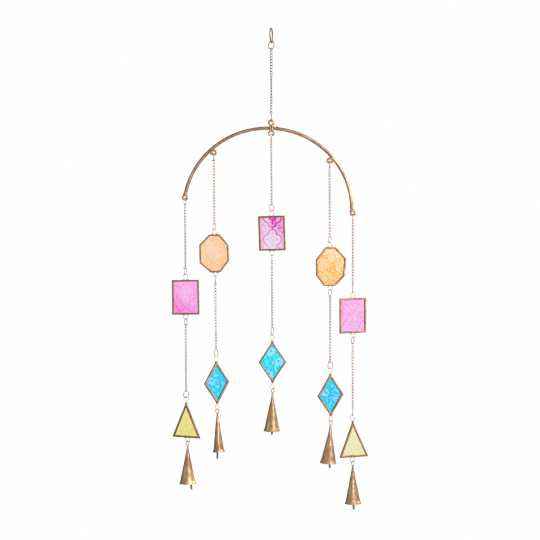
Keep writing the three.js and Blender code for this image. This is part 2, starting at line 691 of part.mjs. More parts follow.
function addArch(chainRest) {
  const eyeMiddle = chainRest + GAP + EYE_ROD / 2 - DOUBLE_EYE_RADIUS - DOUBLE_EYE_SPACING / 2;
  addPiece(root, 'top_double_eye', doubleEye().translate([0, 0, eyeMiddle]), brass('eye'));

  const archLine = new ArchLine();
  const behind = (ARCH_ROD + EYE_ROD) / 2 + GAP;
  const crossing = ARCH_RISE * Math.sqrt(1 - (ARCH_SIDE_SHIFT / ARCH_HALF_WIDTH) ** 2);
  const archPlace = new THREE.Vector3(ARCH_SIDE_SHIFT, behind, eyeMiddle - crossing);
  const rod = rodAlong(archLine, ARCH_ROD, ROD_SIDES, ARCH_STEPS);
  addPiece(root, 'arch_rod', rod.translate(archPlace.toArray()), brass('arch'));

  const innerEye = (degrees) => {
    const inwards = archLine.inwardAt(degrees);
    return archLine.at(degrees).addScaledVector(inwards, INNER_EYE_DROP);
  };
  const endEye = (degrees, across) => {
    const down = new THREE.Vector3(across, 0, -END_EYE_DROP);
    return archLine.at(degrees).add(down);
  };
  const eyes = [
    {
      name: 'left_end_eye', centre: endEye(ARCH_LEFT_END, 0), side: 1, cut: 65, leave: -202,
      tail: END_EYE_TAIL,
    },
    {
      name: 'left_inner_eye', centre: innerEye(LEFT_INNER_EYE_AT), side: 1, cut: 107, leave: -125,
      tail: INNER_EYE_TAIL,
    },
    {
      name: 'right_inner_eye', centre: innerEye(RIGHT_INNER_EYE_AT), side: -1, cut: 135, leave: -127,
      tail: INNER_EYE_TAIL,
    },
    {
      name: 'right_end_eye', centre: endEye(ARCH_RIGHT_END, END_EYE_SIDE_SHIFT), side: 1, cut: 62,
      leave: -190, tail: END_EYE_TAIL,
    },
  ];
  const hooks = eyes.map((eye) => {
    const place = eye.centre.clone().add(archPlace).setY(0);
    const loop = sideEye(eye.side, eye.cut, eye.leave, eye.tail);
    addPiece(root, eye.name, loop.translate(place.toArray()), brass('eye'));
    return place.add(new THREE.Vector3(0, 0, EYE_ROD / 2 - SIDE_EYE_RADIUS));
  });
  const doubleEyeRest = eyeMiddle - DOUBLE_EYE_SPACING / 2 - DOUBLE_EYE_RADIUS + EYE_ROD / 2;
  hooks.splice(2, 0, new THREE.Vector3(0, 0, doubleEyeRest));
  return hooks;
}

const hooks = addArch(addTop());
STRANDS.forEach((strand, index) => addStrand(strand, hooks[index]));

export default root;
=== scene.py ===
# %% [markdown]
# # A hanging bell decoration
# A brass rod bent to an arch hangs from a ring and a short chain. Five strands hang from eyes on the arch.
# Each is a chain, a pane of pressed glass in a brass channel, a second chain, a second pane and a cone
# bell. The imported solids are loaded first. They fix where everything is, and each detailed piece below
# takes the place of one of them.

import math

import bmesh
import bpy
import numpy as np
from mathutils import Matrix, Vector, noise


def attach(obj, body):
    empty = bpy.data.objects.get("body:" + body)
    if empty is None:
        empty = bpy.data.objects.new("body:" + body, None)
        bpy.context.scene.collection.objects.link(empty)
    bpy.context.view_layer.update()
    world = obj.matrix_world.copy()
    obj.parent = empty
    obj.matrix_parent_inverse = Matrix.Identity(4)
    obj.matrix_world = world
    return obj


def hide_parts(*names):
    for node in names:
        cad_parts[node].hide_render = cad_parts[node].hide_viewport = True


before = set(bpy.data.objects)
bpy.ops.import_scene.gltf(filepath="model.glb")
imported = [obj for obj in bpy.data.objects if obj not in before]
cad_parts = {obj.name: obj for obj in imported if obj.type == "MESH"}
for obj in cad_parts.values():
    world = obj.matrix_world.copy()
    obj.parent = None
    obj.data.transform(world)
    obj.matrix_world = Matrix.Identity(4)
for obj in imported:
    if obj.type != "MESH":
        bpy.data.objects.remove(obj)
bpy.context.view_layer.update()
print("solids loaded:", len(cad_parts))

# %% [markdown]
# ## Working in millimetres
# A maker thinks in millimetres and Blender in metres. Each piece is shaped in millimetres round its own
# origin, and then its mesh is moved and scaled in one step. The finished object itself stays at the origin,
# unturned.

# %% Helpers that place a mesh and hand it over
MM = 0.001
GAP = 0.3
CREASE_ANGLE = 38


def turn(degrees, axis):
    return Matrix.Rotation(math.radians(degrees), 4, axis)


def shift(x, y, z):
    return Matrix.Translation((x, y, z))


def new_object(name, mesh):
    obj = bpy.data.objects.new(name, mesh)
    bpy.context.scene.collection.objects.link(obj)
    return obj


def plain_copy(obj, name):
    """The object as it is shown, modifiers and all, as a plain mesh. The object it came from is removed."""
    bpy.context.view_layer.update()
    shown = obj.evaluated_get(bpy.context.evaluated_depsgraph_get())
    mesh = bpy.data.meshes.new_from_object(shown)
    mesh.name = name
    bpy.data.objects.remove(obj)
    return mesh


def joined(meshes, name):
    """Several meshes as one."""
    build = bmesh.new()
    for mesh in meshes:
        build.from_mesh(mesh)
    whole = bpy.data.meshes.new(name)
    build.to_mesh(whole)
    build.free()
    return whole


def hand_over(name, mesh, place, material, nodes):
    """Puts the finished mesh in its place, gives it its material and hides the solids that it stands for."""
    mesh.transform(Matrix.Scale(MM, 4) @ place)
    mesh.materials.clear()
    mesh.materials.append(material)
    mesh.polygons.foreach_set("use_smooth", [True] * len(mesh.polygons))
    mesh.set_sharp_from_angle(angle=math.radians(CREASE_ANGLE))
    mesh.update()
    piece = new_object(name, mesh)
    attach(piece, "root")
    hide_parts(*nodes)
    return piece


print("helpers ready")

# %% [markdown]
# ## Where everything hangs
# The sizes are those of the solids, so the pieces below land on them. Only the bells differ, by up to half
# a millimetre: their sheet is thinner and their lip turns out further. Each strand is a line that leans a
# degree or less, and everything on it is laid out from the top down: every wire rests on the one above it.

# %% Sizes of the wires, links and panes
CHAIN_PITCH, CHAIN_WIDTH, LINK_WIRE = 4.15, 3.9, 0.9
CONNECTOR_WIRE, CONNECTOR_WIDTH, ROUND_CONNECTOR_WIDTH = 1.1, 7.8, 10.4
EYE_ROD, ARCH_ROD = 2.8, 4.8
GLASS_THICKNESS, CHANNEL_WALL, CHANNEL_FACE = 3.0, 0.7, 2.3
CHANNEL_DEPTH = GLASS_THICKNESS + 2 * GAP + 2 * CHANNEL_WALL
LOOP_WIRE, LOOP_WIDTH, DROP_LOOP_WIDTH = 0.9, 7.6, 7.2
BELL_HEIGHT, BELL_WALL, MOUTH_WIDTH, MOUTH_DEPTH = 55.0, 0.5, 24.8, 17.2
NECK_LENGTH, NECK_SWELL, LIP_HEIGHT, LIP_FLARE, RIM_SAG = 6.0, 0.65, 4.4, 1.8, 0.7
HANGER_WIRE, HANGER_WIDTH, HANGER_HEIGHT, INNER_LOOP = 0.95, 6.2, 7.5, 4.0
CLAPPER_ROD, CLAPPER_EYE = 2.8, 3.8
TIP_WIDTH = 2.3
OVAL_POINTS, OVAL_FULLNESS, FINE_CUT = 48, 2.15, 0.25

SQUARE_LEFT = [(-0.498, 0.006), (0.49, 0), (0.506, 1), (-0.494, 1)]
SQUARE_CENTRE = [(-0.495, 0.009), (0.478, -0.009), (0.505, 0.99), (-0.457, 1.002)]
SQUARE_RIGHT = [(-0.502, 0.014), (0.498, -0.01), (0.498, 0.985), (-0.498, 1.012)]
OCTAGON_LEFT = [(-0.188, 0), (0.178, 0), (0.463, 0.276), (0.48, 0.695),
                (0.191, 0.992), (-0.134, 1.005), (-0.513, 0.747), (-0.52, 0.274)]
OCTAGON_RIGHT = [(-0.138, 0.002), (0.19, -0.002), (0.536, 0.289), (0.49, 0.732),
                 (0.196, 0.972), (-0.184, 0.99), (-0.455, 0.72), (-0.465, 0.318)]
DIAMOND_LEFT = [(0, 0), (0.508, 0.483), (0.03, 1), (-0.492, 0.524)]
DIAMOND_CENTRE = [(0, 0), (0.503, 0.497), (0, 1), (-0.497, 0.509)]
DIAMOND_RIGHT = [(0, 0), (0.504, 0.483), (0.01, 1), (-0.496, 0.531)]
TRIANGLE_LEFT = [(0, 0), (0.505, 1.014), (-0.495, 0.966)]
TRIANGLE_RIGHT = [(0, 0), (0.54, 0.977), (-0.46, 1.014)]
print("channel depth", CHANNEL_DEPTH, "mm")

# %% The five strands, from left to right


def run(links, tops, ends, top_turn, end_turn, twist, wide=False, sprung=None):
    """One chain: its links, the height and turn of each connector, and its own turn along its length.
    sprung is the connector whose cut end stands out, and the side it stands out to."""
    return {"links": links, "tops": tops, "ends": ends, "top_turn": top_turn, "end_turn": end_turn,
            "twist": twist, "wide": wide, "sprung": sprung}


def pane(name, outline, width, height, turned, above, below, foot):
    """One framed pane: its outline and size, its turn, and how far its two wire loops stand out."""
    return {"name": name, "outline": outline, "width": width, "height": height, "turn": turned,
            "above": above, "below": below, "foot": foot}


def bell(turned, lean, hanger_turn, shows, swing):
    return {"turn": turned, "lean": lean, "hanger_turn": hanger_turn, "shows": shows, "swing": swing}


STRANDS = {
    "outer_left": (
        0.3,
        run(22, 11.2, 11, 68, 70, [(0, -25), (0.3, -30), (0.6, -55), (1, -60)], sprung=("end", -1)),
        pane("pink", SQUARE_LEFT, 39.5, 50.3, 0, 9.1, 7.4, 0),
        run(23, 10.8, 10.8, 61, 40, [(0, -40), (0.3, -45), (0.5, -52), (1, -54)], wide=True,
            sprung=("top", 1)),
        pane("yellow", TRIANGLE_LEFT, 41, 50.9, -10, 9, 6.6, 1.9),
        bell(8, -0.3, 45, 8.3, 7)),
    "inner_left": (
        0.55,
        run(22, 11.8, 10.5, 85, 58, [(0, -35), (1, -30)], sprung=("top", -1)),
        pane("orange", OCTAGON_LEFT, 43, 54.9, 5, 8.2, 6.4, 0.6),
        run(23, 12.3, 11.7, 88, 49, [(0, -40), (1, -30)]),
        pane("blue", DIAMOND_LEFT, 37.8, 60.9, 22, 9.4, 9.5, 0.9),
        bell(84, 1.6, -30, 10, -3)),
    "centre": (
        0.25,
        run(23, 8, 10.2, 88, 42, [(0, -50), (0.5, -60), (1, -55)], wide=True),
        pane("rose", SQUARE_CENTRE, 39.9, 50.4, -6, 8.8, 8.1, 0.2),
        run(23, 10.2, 13, 90, 61, [(0, -35), (0.5, -50), (0.75, -45), (1, -60)]),
        pane("blue", DIAMOND_CENTRE, 40.5, 59.8, 3, 10.6, 10.3, 0.1),
        bell(4, -1.5, -46, 4.5, 0.5)),
    "inner_right": (
        0.2,
        run(24, 10.4, 10.4, 80, 52, [(0, -40), (0.4, -55), (0.75, -45), (1, -30)]),
        pane("orange", OCTAGON_RIGHT, 44.2, 57, 8, 8.1, 7.2, 0.1),
        run(23, 10.8, 10.8, 49, 38, [(0, -58), (0.25, -58), (0.45, -40), (0.8, -35), (1, -55)], wide=True,
            sprung=("end", -1)),
        pane("blue", DIAMOND_RIGHT, 38.8, 59.9, 14, 9.9, 9.2, 0.4),
        bell(-6, -3.9, -40, 6, 3.5)),
    "outer_right": (
        0,
        run(23, 11.9, 10.2, 85, 85, [(0, -53), (1, -51)]),
        pane("pink", SQUARE_RIGHT, 38.9, 50.6, 8, 9, 7.3, -0.1),
        run(23, 11.2, 10.6, 49, 85, [(0, -35), (0.35, -40), (0.55, -52), (1, -54)]),
        pane("yellow", TRIANGLE_RIGHT, 41.9, 51.8, 8, 9.4, 7.4, -0.1),
        bell(12, 0.3, -49, 7.8, 1.3)),
}
print("strands:", ", ".join(STRANDS))

# %% [markdown]
# ## Two helpers for shapes: wires and outlines
# Most of this object is wire. A curve with a round bevel is the shortest way to a wire in Blender: points
# go in, and a tube with a cap on each end comes out. The caps only lie on the ends and aren't joined to
# them, which doesn't show. The curve is turned to a mesh at once, so nothing live is left behind.

# %% Wire from a list of points


def wire(points, thickness, closed=False, corners=10):
    """A round wire through the points, as a mesh."""
    curve = bpy.data.curves.new("wire", "CURVE")
    curve.dimensions = "3D"
    curve.bevel_depth = thickness / 2
    curve.bevel_resolution = (corners - 4) // 2
    curve.use_fill_caps = not closed
    spline = curve.splines.new("POLY")
    spline.points.add(len(points) - 1)
    spline.points.foreach_set("co", [value for point in points for value in (*point, 1.0)])
    spline.use_cyclic_u = closed
    mesh = plain_copy(new_object("wire", curve), "wire")
    bpy.data.curves.remove(curve)
    return mesh


def smooth_path(points, steps=6):
    """More points on a smooth curve through the given ones."""
    spots = [Vector(point) for point in points]
    spots = [2 * spots[0] - spots[1], *spots, 2 * spots[-1] - spots[-2]]
    path = []
    for a, b, c, d in zip(spots, spots[1:], spots[2:], spots[3:]):
        for step in range(steps):
            t = step / steps
            path.append(0.5 * (2 * b + (c - a) * t + (2 * a - 5 * b + 4 * c - d) * t**2
                               + (3 * b - a - 3 * c + d) * t**3))
    return [*path, spots[-2]]


def arc(centre_x, centre_z, radius, start, end, count):
    """Points on an arc in the upright plane, from one angle to another."""
    angles = [math.radians(start + (end - start) * i / (count - 1)) for i in range(count)]
    return [(centre_x + radius * math.cos(a), 0, centre_z + radius * math.sin(a)) for a in angles]


def oval(width, height, thickness, cut=0.0):
    """Points on an upright oval of wire, its top at zero. A cut opens the right flank."""
    half, rise = (width - thickness) / 2, (height - thickness) / 2
    points = []
    for i in range(OVAL_POINTS):
        a = math.radians((i + 0.5) * 360 / OVAL_POINTS)
        full = abs(math.cos(a)) ** OVAL_FULLNESS + abs(math.sin(a)) ** OVAL_FULLNESS
        fuller = 1 / full ** (1 / OVAL_FULLNESS)
        points.append((half * fuller * math.cos(a), 0, rise * fuller * math.sin(a) - height / 2))
    if cut:
        points = [(half, 0, (cut - height) / 2), *points, (half, 0, (-cut - height) / 2)]
    return points


print("wire helpers ready")

# %% [markdown]
# ## Aged brass
# The metal is brass, aged to a copper brown and rubbed bright where hands and polishing reach it, each kind
# of piece in its own tones, and the loops on the panes are tinned wire. What they share is a shader node
# group: soft blotches of tarnish, streaks that follow the brushing, and small dark pits. Each material
# places the group with its own colours and sizes, and keeps its own Principled shader.

# %% Small helpers for shader nodes


def join(tree, source, target):
    tree.links.new(source, target)


def feed(tree, socket, value):
    """Gives a socket a plain value, or links it to another node's output."""
    if isinstance(value, bpy.types.NodeSocket):
        join(tree, value, socket)
    else:
        socket.default_value = value


def add_node(tree, kind, **inputs):
    made = tree.nodes.new(kind)
    for name, value in inputs.items():
        feed(tree, made.inputs[name.replace("_", " ")], value)
    return made


def new_group(name, inputs, outputs):
    """An empty shader group with named inputs and outputs."""
    tree = bpy.data.node_groups.new(name, "ShaderNodeTree")
    for label, kind in inputs:
        tree.interface.new_socket(label, in_out="INPUT", socket_type=f"NodeSocket{kind}")
    for label, kind in outputs:
        tree.interface.new_socket(label, in_out="OUTPUT", socket_type=f"NodeSocket{kind}")
    return tree, tree.nodes.new("NodeGroupInput"), tree.nodes.new("NodeGroupOutput")


def mix_colours(tree, factor, first, second):
    """Mixes two colour sockets by a factor socket and gives back the result."""
    mixer = tree.nodes.new("ShaderNodeMix")
    mixer.data_type = "RGBA"
    for label, source in (("Factor", factor), ("A", first), ("B", second)):
        join(tree, source, mixer.inputs[label])
    return mixer.outputs["Result"]


def spread(tree, source, low, high, to_low=0.0, to_high=1.0):
    """Stretches the part of a value between low and high over a new range."""
    made = add_node(tree, "ShaderNodeMapRange", Value=source, From_Min=low, From_Max=high, To_Min=to_low,
                    To_Max=to_high)
    made.interpolation_type = "SMOOTHSTEP"
    return made.outputs["Result"]


def sum_of(tree, first, second, share):
    """first + second * share"""
    made = tree.nodes.new("ShaderNodeMath")
    made.operation = "MULTIPLY_ADD"
    for socket, value in zip(made.inputs, (second, share, first)):
        feed(tree, socket, value)
    return made.outputs[0]


print("shader helpers ready")

# %% The tarnish group


def tarnish_group():
    tree, entry, leave = new_group(
        "brass_tarnish",
        [("Rubbed", "Color"), ("Brown", "Color"), ("Dark", "Color"), ("Blotch Scale", "Float"),
         ("Streak Stretch", "Vector"), ("Streak Scale", "Float"), ("Pit Scale", "Float")],
        [("Color", "Color"), ("Roughness", "Float"), ("Height", "Float")])
    place = tree.nodes.new("ShaderNodeTexCoord").outputs["Object"]
    stretched = add_node(tree, "ShaderNodeMapping", Vector=place, Scale=entry.outputs["Streak Stretch"])
    blotch = add_node(tree, "ShaderNodeTexNoise", Vector=place, Scale=entry.outputs["Blotch Scale"],
                      Detail=5.0, Roughness=0.62)
    streak = add_node(tree, "ShaderNodeTexNoise", Vector=stretched.outputs["Vector"],
                      Scale=entry.outputs["Streak Scale"], Detail=3.0, Roughness=0.55)
    pits = add_node(tree, "ShaderNodeTexNoise", Vector=place, Scale=entry.outputs["Pit Scale"], Detail=2.0)
    base = mix_colours(tree, spread(tree, blotch.outputs["Fac"], 0.36, 0.66),
                       entry.outputs["Brown"], entry.outputs["Rubbed"])
    streaked = mix_colours(tree, spread(tree, streak.outputs["Fac"], 0.52, 0.8, 0.0, 0.5),
                           base, entry.outputs["Dark"])
    pitted = mix_colours(tree, spread(tree, pits.outputs["Fac"], 0.64, 0.78, 0.0, 0.6),
                         streaked, entry.outputs["Dark"])
    join(tree, pitted, leave.inputs["Color"])
    join(tree, spread(tree, blotch.outputs["Fac"], 0.3, 0.7, 0.58, 0.36), leave.inputs["Roughness"])
    rough_height = sum_of(tree, streak.outputs["Fac"], pits.outputs["Fac"], -0.5)
    join(tree, sum_of(tree, rough_height, blotch.outputs["Fac"], 0.6), leave.inputs["Height"])
    return tree


tarnish = tarnish_group()
print("group", tarnish.name)

# %% One brass for each kind of piece


def grouped_material(name, group, values, bump, reach):
    """A material that takes colour, roughness and bumps from a group with these values, and its shader."""
    material = bpy.data.materials.new(name)
    material.use_nodes = True
    tree = material.node_tree
    shader = tree.nodes["Principled BSDF"]
    surface = tree.nodes.new("ShaderNodeGroup")
    surface.node_tree = group
    for label, value in values.items():
        surface.inputs[label].default_value = value
    bumps = add_node(tree, "ShaderNodeBump", Strength=bump, Distance=reach, Height=surface.outputs["Height"])
    join(tree, surface.outputs["Color"], shader.inputs["Base Color"])
    join(tree, surface.outputs["Roughness"], shader.inputs["Roughness"])
    join(tree, bumps.outputs["Normal"], shader.inputs["Normal"])
    return material, shader


def brass(name, rubbed, brown, dark, blotch, stretch, streak, pit, bump, lacquer=0.0):
    """Aged brass: three colours, the sizes of its marks per metre, the depth of its bumps, and a lacquer."""
    material, shader = grouped_material(
        name, tarnish,
        {"Rubbed": (*rubbed, 1), "Brown": (*brown, 1), "Dark": (*dark, 1), "Blotch Scale": blotch,
         "Streak Stretch": stretch, "Streak Scale": streak, "Pit Scale": pit}, bump, 0.0004)
    shader.inputs["Metallic"].default_value = 1.0
    shader.inputs["Coat Weight"].default_value = lacquer
    shader.inputs["Coat Roughness"].default_value = 0.3
    return material


EVEN, DRAWN, ROLLED = (1, 1, 1), (1, 1, 0.3), (1, 1, 0.35)
arch_brass = brass("brushed_arch_brass", (0.60, 0.36, 0.19), (0.38, 0.21, 0.105), (0.15, 0.075, 0.035),
                   60, EVEN, 200, 700, 0.1, lacquer=0.45)
eye_brass = brass("bent_eye_brass", (0.58, 0.37, 0.21), (0.40, 0.23, 0.12), (0.14, 0.07, 0.04),
                  160, EVEN, 420, 1500, 0.12, lacquer=0.3)
ring_brass = brass("ring_brass", (0.50, 0.31, 0.20), (0.33, 0.19, 0.12), (0.12, 0.07, 0.05),
                   160, EVEN, 500, 1800, 0.1)
top_chain_brass = brass("top_chain_brass", (0.41, 0.25, 0.16), (0.26, 0.15, 0.095), (0.12, 0.07, 0.05),
                        220, EVEN, 600, 2200, 0.1)
chain_brass = brass("chain_brass", (0.69, 0.52, 0.39), (0.52, 0.37, 0.27), (0.22, 0.14, 0.10),
                    220, EVEN, 600, 2200, 0.1)
frame_brass = brass("channel_brass", (0.43, 0.24, 0.11), (0.29, 0.15, 0.06), (0.13, 0.065, 0.03),
                    90, ROLLED, 300, 900, 0.1, lacquer=0.2)
copper_frame = brass("copper_channel_brass", (0.50, 0.28, 0.16), (0.35, 0.18, 0.095), (0.15, 0.07, 0.04),
                     90, ROLLED, 300, 900, 0.1, lacquer=0.2)
# The bells are one brass. Its "dark" tone is a copy with painted shade, and its "bright" tone is a copy with
# painted light. Together they even out how the lights fall on the five bells.
bell_brass = {
    tone: brass(name, rubbed, brown, dark, 70, DRAWN, 200, 900, 0.12)
    for tone, name, rubbed, brown, dark in (
        ("mid", "hammered_bell_brass", (0.62, 0.39, 0.225), (0.41, 0.245, 0.13), (0.17, 0.09, 0.05)),
        ("dark", "shade_painted_bell_brass", (0.53, 0.33, 0.19), (0.36, 0.215, 0.115), (0.15, 0.075, 0.045)),
        ("bright", "light_painted_bell_brass", (0.66, 0.42, 0.245), (0.44, 0.265, 0.145),
         (0.18, 0.095, 0.05)))
}
# The bells that take the painted-shade copy and the one that takes the painted-light copy. The others take
# the mid tone.
BELL_PAINTED_SHADE_AND_LIGHT = {"centre": "dark", "outer_right": "dark", "inner_right": "bright"}
clapper_brass = brass("clapper_brass", (0.42, 0.25, 0.13), (0.27, 0.15, 0.08), (0.10, 0.05, 0.03),
                      150, DRAWN, 420, 1500, 0.15)
hanger_brass = brass("hanger_brass", (0.50, 0.33, 0.23), (0.33, 0.21, 0.14), (0.12, 0.07, 0.05),
                     200, EVEN, 520, 1900, 0.1)
tinned_wire = brass("tinned_wire", (0.76, 0.73, 0.70), (0.58, 0.54, 0.51), (0.32, 0.28, 0.25),
                    240, EVEN, 640, 2200, 0.08)
print("brasses:", len([m for m in bpy.data.materials if "brass" in m.name]), "and one tinned wire")

# %% [markdown]
# ## The rings at the top
# The hook goes through a plain round ring. A smaller jump ring joins it to the chain. Both are wire that
# was wound, cut and closed by hand, so a fine cut is left where the ends meet.

# %% Hanging ring and jump ring
HANG_RING, HANG_WIRE, HANG_TURN = 22.5, 2.1, 80
JUMP_RING, JUMP_WIRE, JUMP_TURN = 12.8, 1.15, -46


def cut_ring(diameter, thickness, cut_at):
    """A round ring of wire, its top at zero, with a fine cut at cut_at degrees from the right."""
    radius = (diameter - thickness) / 2
    half_cut = math.degrees(FINE_CUT / 2 / radius)
    points = arc(0, -diameter / 2, radius, cut_at + half_cut, cut_at + 360 - half_cut, 64)
    return wire(points, thickness, corners=12)


jump_top = 2 * HANG_WIRE - HANG_RING + GAP + JUMP_WIRE
hand_over("ring_for_the_hook", cut_ring(HANG_RING, HANG_WIRE, -96),
          shift(0, 0, HANG_WIRE) @ turn(HANG_TURN, "Z"), ring_brass, ["hanging_ring"])
hand_over("small_jump_ring", cut_ring(JUMP_RING, JUMP_WIRE, 205),
          shift(0, 0, jump_top) @ turn(JUMP_TURN, "Z"), ring_brass, ["jump_ring"])
print("rings from", round(HANG_WIRE, 2), "down to", round(jump_top - JUMP_RING, 2), "mm")

# %% [markdown]
# ## Curb chain, with Geometry Nodes
# A curb chain's link is an oval of wire with a twist of a quarter turn, which lets neighbours lie side by
# side. One link is the same as the next, so this is work for Geometry Nodes: the tree bends a circle to one
# twisted link and puts a copy on each point of a line. Each point carries the link's own turn, because a
# loose chain winds slowly about itself. The tree ends in real mesh, since an export drops instances.

# %% The chain tree
LINK_STEPS, LINK_SIDES, LINK_WOBBLE = 14, 5, (0.05, 0.05, 0.09)


def field_math(tree, operation, *values):
    made = tree.nodes.new("ShaderNodeMath")
    made.operation = operation
    for socket, value in zip(made.inputs, values):
        feed(tree, socket, value)
    return made.outputs[0]


def link_shape(tree, entry):
    """One twisted link: a circle whose points are turned about the long axis by how high they lie."""
    half_width, half_height, half_wire = (
        field_math(tree, "MULTIPLY", entry.outputs[label], 0.5)
        for label in ("Link Width", "Link Height", "Wire"))
    ring = add_node(tree, "GeometryNodeCurvePrimitiveCircle", Resolution=LINK_STEPS, Radius=1.0)
    position = tree.nodes.new("GeometryNodeInputPosition").outputs[0]
    parts = add_node(tree, "ShaderNodeSeparateXYZ", Vector=position)
    quarter = field_math(tree, "MULTIPLY", parts.outputs["Y"], math.pi / 4)
    reach = field_math(tree, "MULTIPLY", parts.outputs["X"], half_width)
    spot = add_node(tree, "ShaderNodeCombineXYZ",
                    X=field_math(tree, "MULTIPLY", reach, field_math(tree, "COSINE", quarter)),
                    Y=field_math(tree, "MULTIPLY", reach, field_math(tree, "SINE", quarter)),
                    Z=field_math(tree, "MULTIPLY", parts.outputs["Y"], half_height))
    bend = add_node(tree, "GeometryNodeSetPosition", Geometry=ring.outputs["Curve"],
                    Position=spot.outputs["Vector"])
    section = add_node(tree, "GeometryNodeCurvePrimitiveCircle", Resolution=LINK_SIDES, Radius=half_wire)
    return add_node(tree, "GeometryNodeCurveToMesh", Curve=bend.outputs["Geometry"],
                    Profile_Curve=section.outputs["Curve"])


def link_turn(tree):
    """Each link's own turn from the attribute of its point, with a small random wobble."""
    own_turn = tree.nodes.new("GeometryNodeInputNamedAttribute")
    own_turn.data_type = "FLOAT"
    own_turn.inputs["Name"].default_value = "turn"
    wobble = tree.nodes.new("FunctionNodeRandomValue")
    wobble.data_type = "FLOAT_VECTOR"
    wobble.inputs["Min"].default_value = [-angle for angle in LINK_WOBBLE]
    wobble.inputs["Max"].default_value = LINK_WOBBLE
    wobble.inputs["Seed"].default_value = 7
    upright = add_node(tree, "ShaderNodeCombineXYZ", Z=own_turn.outputs["Attribute"])
    turned = tree.nodes.new("ShaderNodeVectorMath")
    join(tree, upright.outputs["Vector"], turned.inputs[0])
    join(tree, wobble.outputs["Value"], turned.inputs[1])
    return turned.outputs["Vector"]


def curb_chain_tree():
    tree = bpy.data.node_groups.new("curb_chain", "GeometryNodeTree")
    for label, kind in (("Geometry", "Geometry"), ("Link Width", "Float"), ("Link Height", "Float"),
                        ("Wire", "Float"), ("Material", "Material")):
        tree.interface.new_socket(label, in_out="INPUT", socket_type=f"NodeSocket{kind}")
    tree.interface.new_socket("Geometry", in_out="OUTPUT", socket_type="NodeSocketGeometry")
    entry, leave = tree.nodes.new("NodeGroupInput"), tree.nodes.new("NodeGroupOutput")
    copies = add_node(tree, "GeometryNodeInstanceOnPoints", Points=entry.outputs["Geometry"],
                      Instance=link_shape(tree, entry).outputs["Mesh"], Rotation=link_turn(tree))
    real = add_node(tree, "GeometryNodeRealizeInstances", Geometry=copies.outputs["Instances"])
    coat = add_node(tree, "GeometryNodeSetMaterial", Geometry=real.outputs["Geometry"],
                    Material=entry.outputs["Material"])
    join(tree, coat.outputs["Geometry"], leave.inputs["Geometry"])
    return tree


chain_tree = curb_chain_tree()
print("tree", chain_tree.name, "with", len(chain_tree.nodes), "nodes")

# %% [markdown]
# ## The connectors of a chain
# Each run hangs on an oval of wire and ends in another. They are bent and closed by hand, so a fine cut is
# left in one flank. An oval could be a Bézier circle, but a line of computed points also gives the fuller
# shape of a link bent round a flat former. Four of them have sprung a little, and the cut end stands out as
# a short bent wire.

# %% A run of chain with its two connectors
SPRUNG_END = [(0.3, 0, -0.2), (1.2, -0.5, 0.6), (2.3, -0.8, 0.3), (2.7, -0.8, -0.9)]
TOP_LINK_WIDTH, TOP_LINK_WIRE = 4.2, 0.95


def twist_at(twist, share):
    places, turns = zip(*twist)
    return math.radians(float(np.interp(share, places, turns)))


def chain_links(count, length, twist, material):
    """The links of a run that spans length between the middles of two connector wires, hanging from zero."""
    hooked = (CONNECTOR_WIRE + LINK_WIRE) / 2
    link_height = CHAIN_PITCH + LINK_WIRE
    pitch = (length + 2 * hooked - link_height) / (count - 1)
    middles = [hooked - link_height / 2 - pitch * i for i in range(count)]
    line = bpy.data.meshes.new("chain_line")
    line.from_pydata([(0, 0, z) for z in middles], [], [])
    line.attributes.new("turn", "FLOAT", "POINT").data.foreach_set(
        "value", [twist_at(twist, (i + 0.5) / count) for i in range(count)])
    obj = new_object("chain", line)
    grow = obj.modifiers.new("links", "NODES")
    grow.node_group = chain_tree
    values = {"Link Width": CHAIN_WIDTH - LINK_WIRE, "Link Height": link_height, "Wire": LINK_WIRE,
              "Material": material}
    for item in chain_tree.interface.items_tree:
        if item.in_out == "INPUT" and item.name in values:
            grow[item.identifier] = values[item.name]
    return plain_copy(obj, "chain")


def chain_run(spec, material, top_width=CONNECTOR_WIDTH, top_wire=CONNECTOR_WIRE):
    """A run of chain and its connectors, hung on a wire with its top at zero, and where its last wire is."""
    height = spec["tops"]
    top_level = GAP + top_wire
    start = top_level - height + top_wire / 2
    length = spec["links"] * CHAIN_PITCH
    end_top = start - length + CONNECTOR_WIRE / 2
    end_width = ROUND_CONNECTOR_WIDTH if spec["wide"] else CONNECTOR_WIDTH
    top = wire(oval(top_width, height, top_wire, cut=FINE_CUT), top_wire)
    top.transform(shift(0, 0, top_level) @ turn(spec["top_turn"], "Z"))
    links = chain_links(spec["links"], length, spec["twist"], material)
    links.transform(shift(0, 0, start))
    end = wire(oval(end_width, spec["ends"], CONNECTOR_WIRE, cut=FINE_CUT), CONNECTOR_WIRE)
    end.transform(shift(0, 0, end_top) @ turn(spec["end_turn"], "Z"))
    pieces = [top, links, end]
    if spec["sprung"]:
        which, side = spec["sprung"]
        level = start if which == "top" else end_top - CONNECTOR_WIRE / 2
        bent = [(side * x, y, level + z) for x, y, z in SPRUNG_END]
        pieces.append(wire(smooth_path(bent, 4), CONNECTOR_WIRE))
    return joined(pieces, "chain"), end_top - spec["ends"] + CONNECTOR_WIRE


TOP_RUN = run(22, 5.6, 11.9, 45, 90, [(0, 0), (0.3, -10), (0.42, -55), (0.65, -60), (0.8, -40), (1, -30)])
chain_hook = jump_top - JUMP_RING + JUMP_WIRE
top_chain, top_rest = chain_run(TOP_RUN, top_chain_brass, top_width=TOP_LINK_WIDTH, top_wire=TOP_LINK_WIRE)
hand_over("hanging_chain_links", top_chain, shift(0, 0, chain_hook), top_chain_brass,
          ["hanging_chain"])
print("top chain ends at", round(chain_hook + top_rest, 1), "mm")

# %% [markdown]
# ## The arch and its eyes
# The arch is one round rod bent to half an ellipse. The eyes are thinner rod, curled round a former and
# brazed on the front of it. All are wires along a path. Smooth noise moves the arch's skin a little, so
# that it looks worked by hand, and a lump of braze closes each joint.

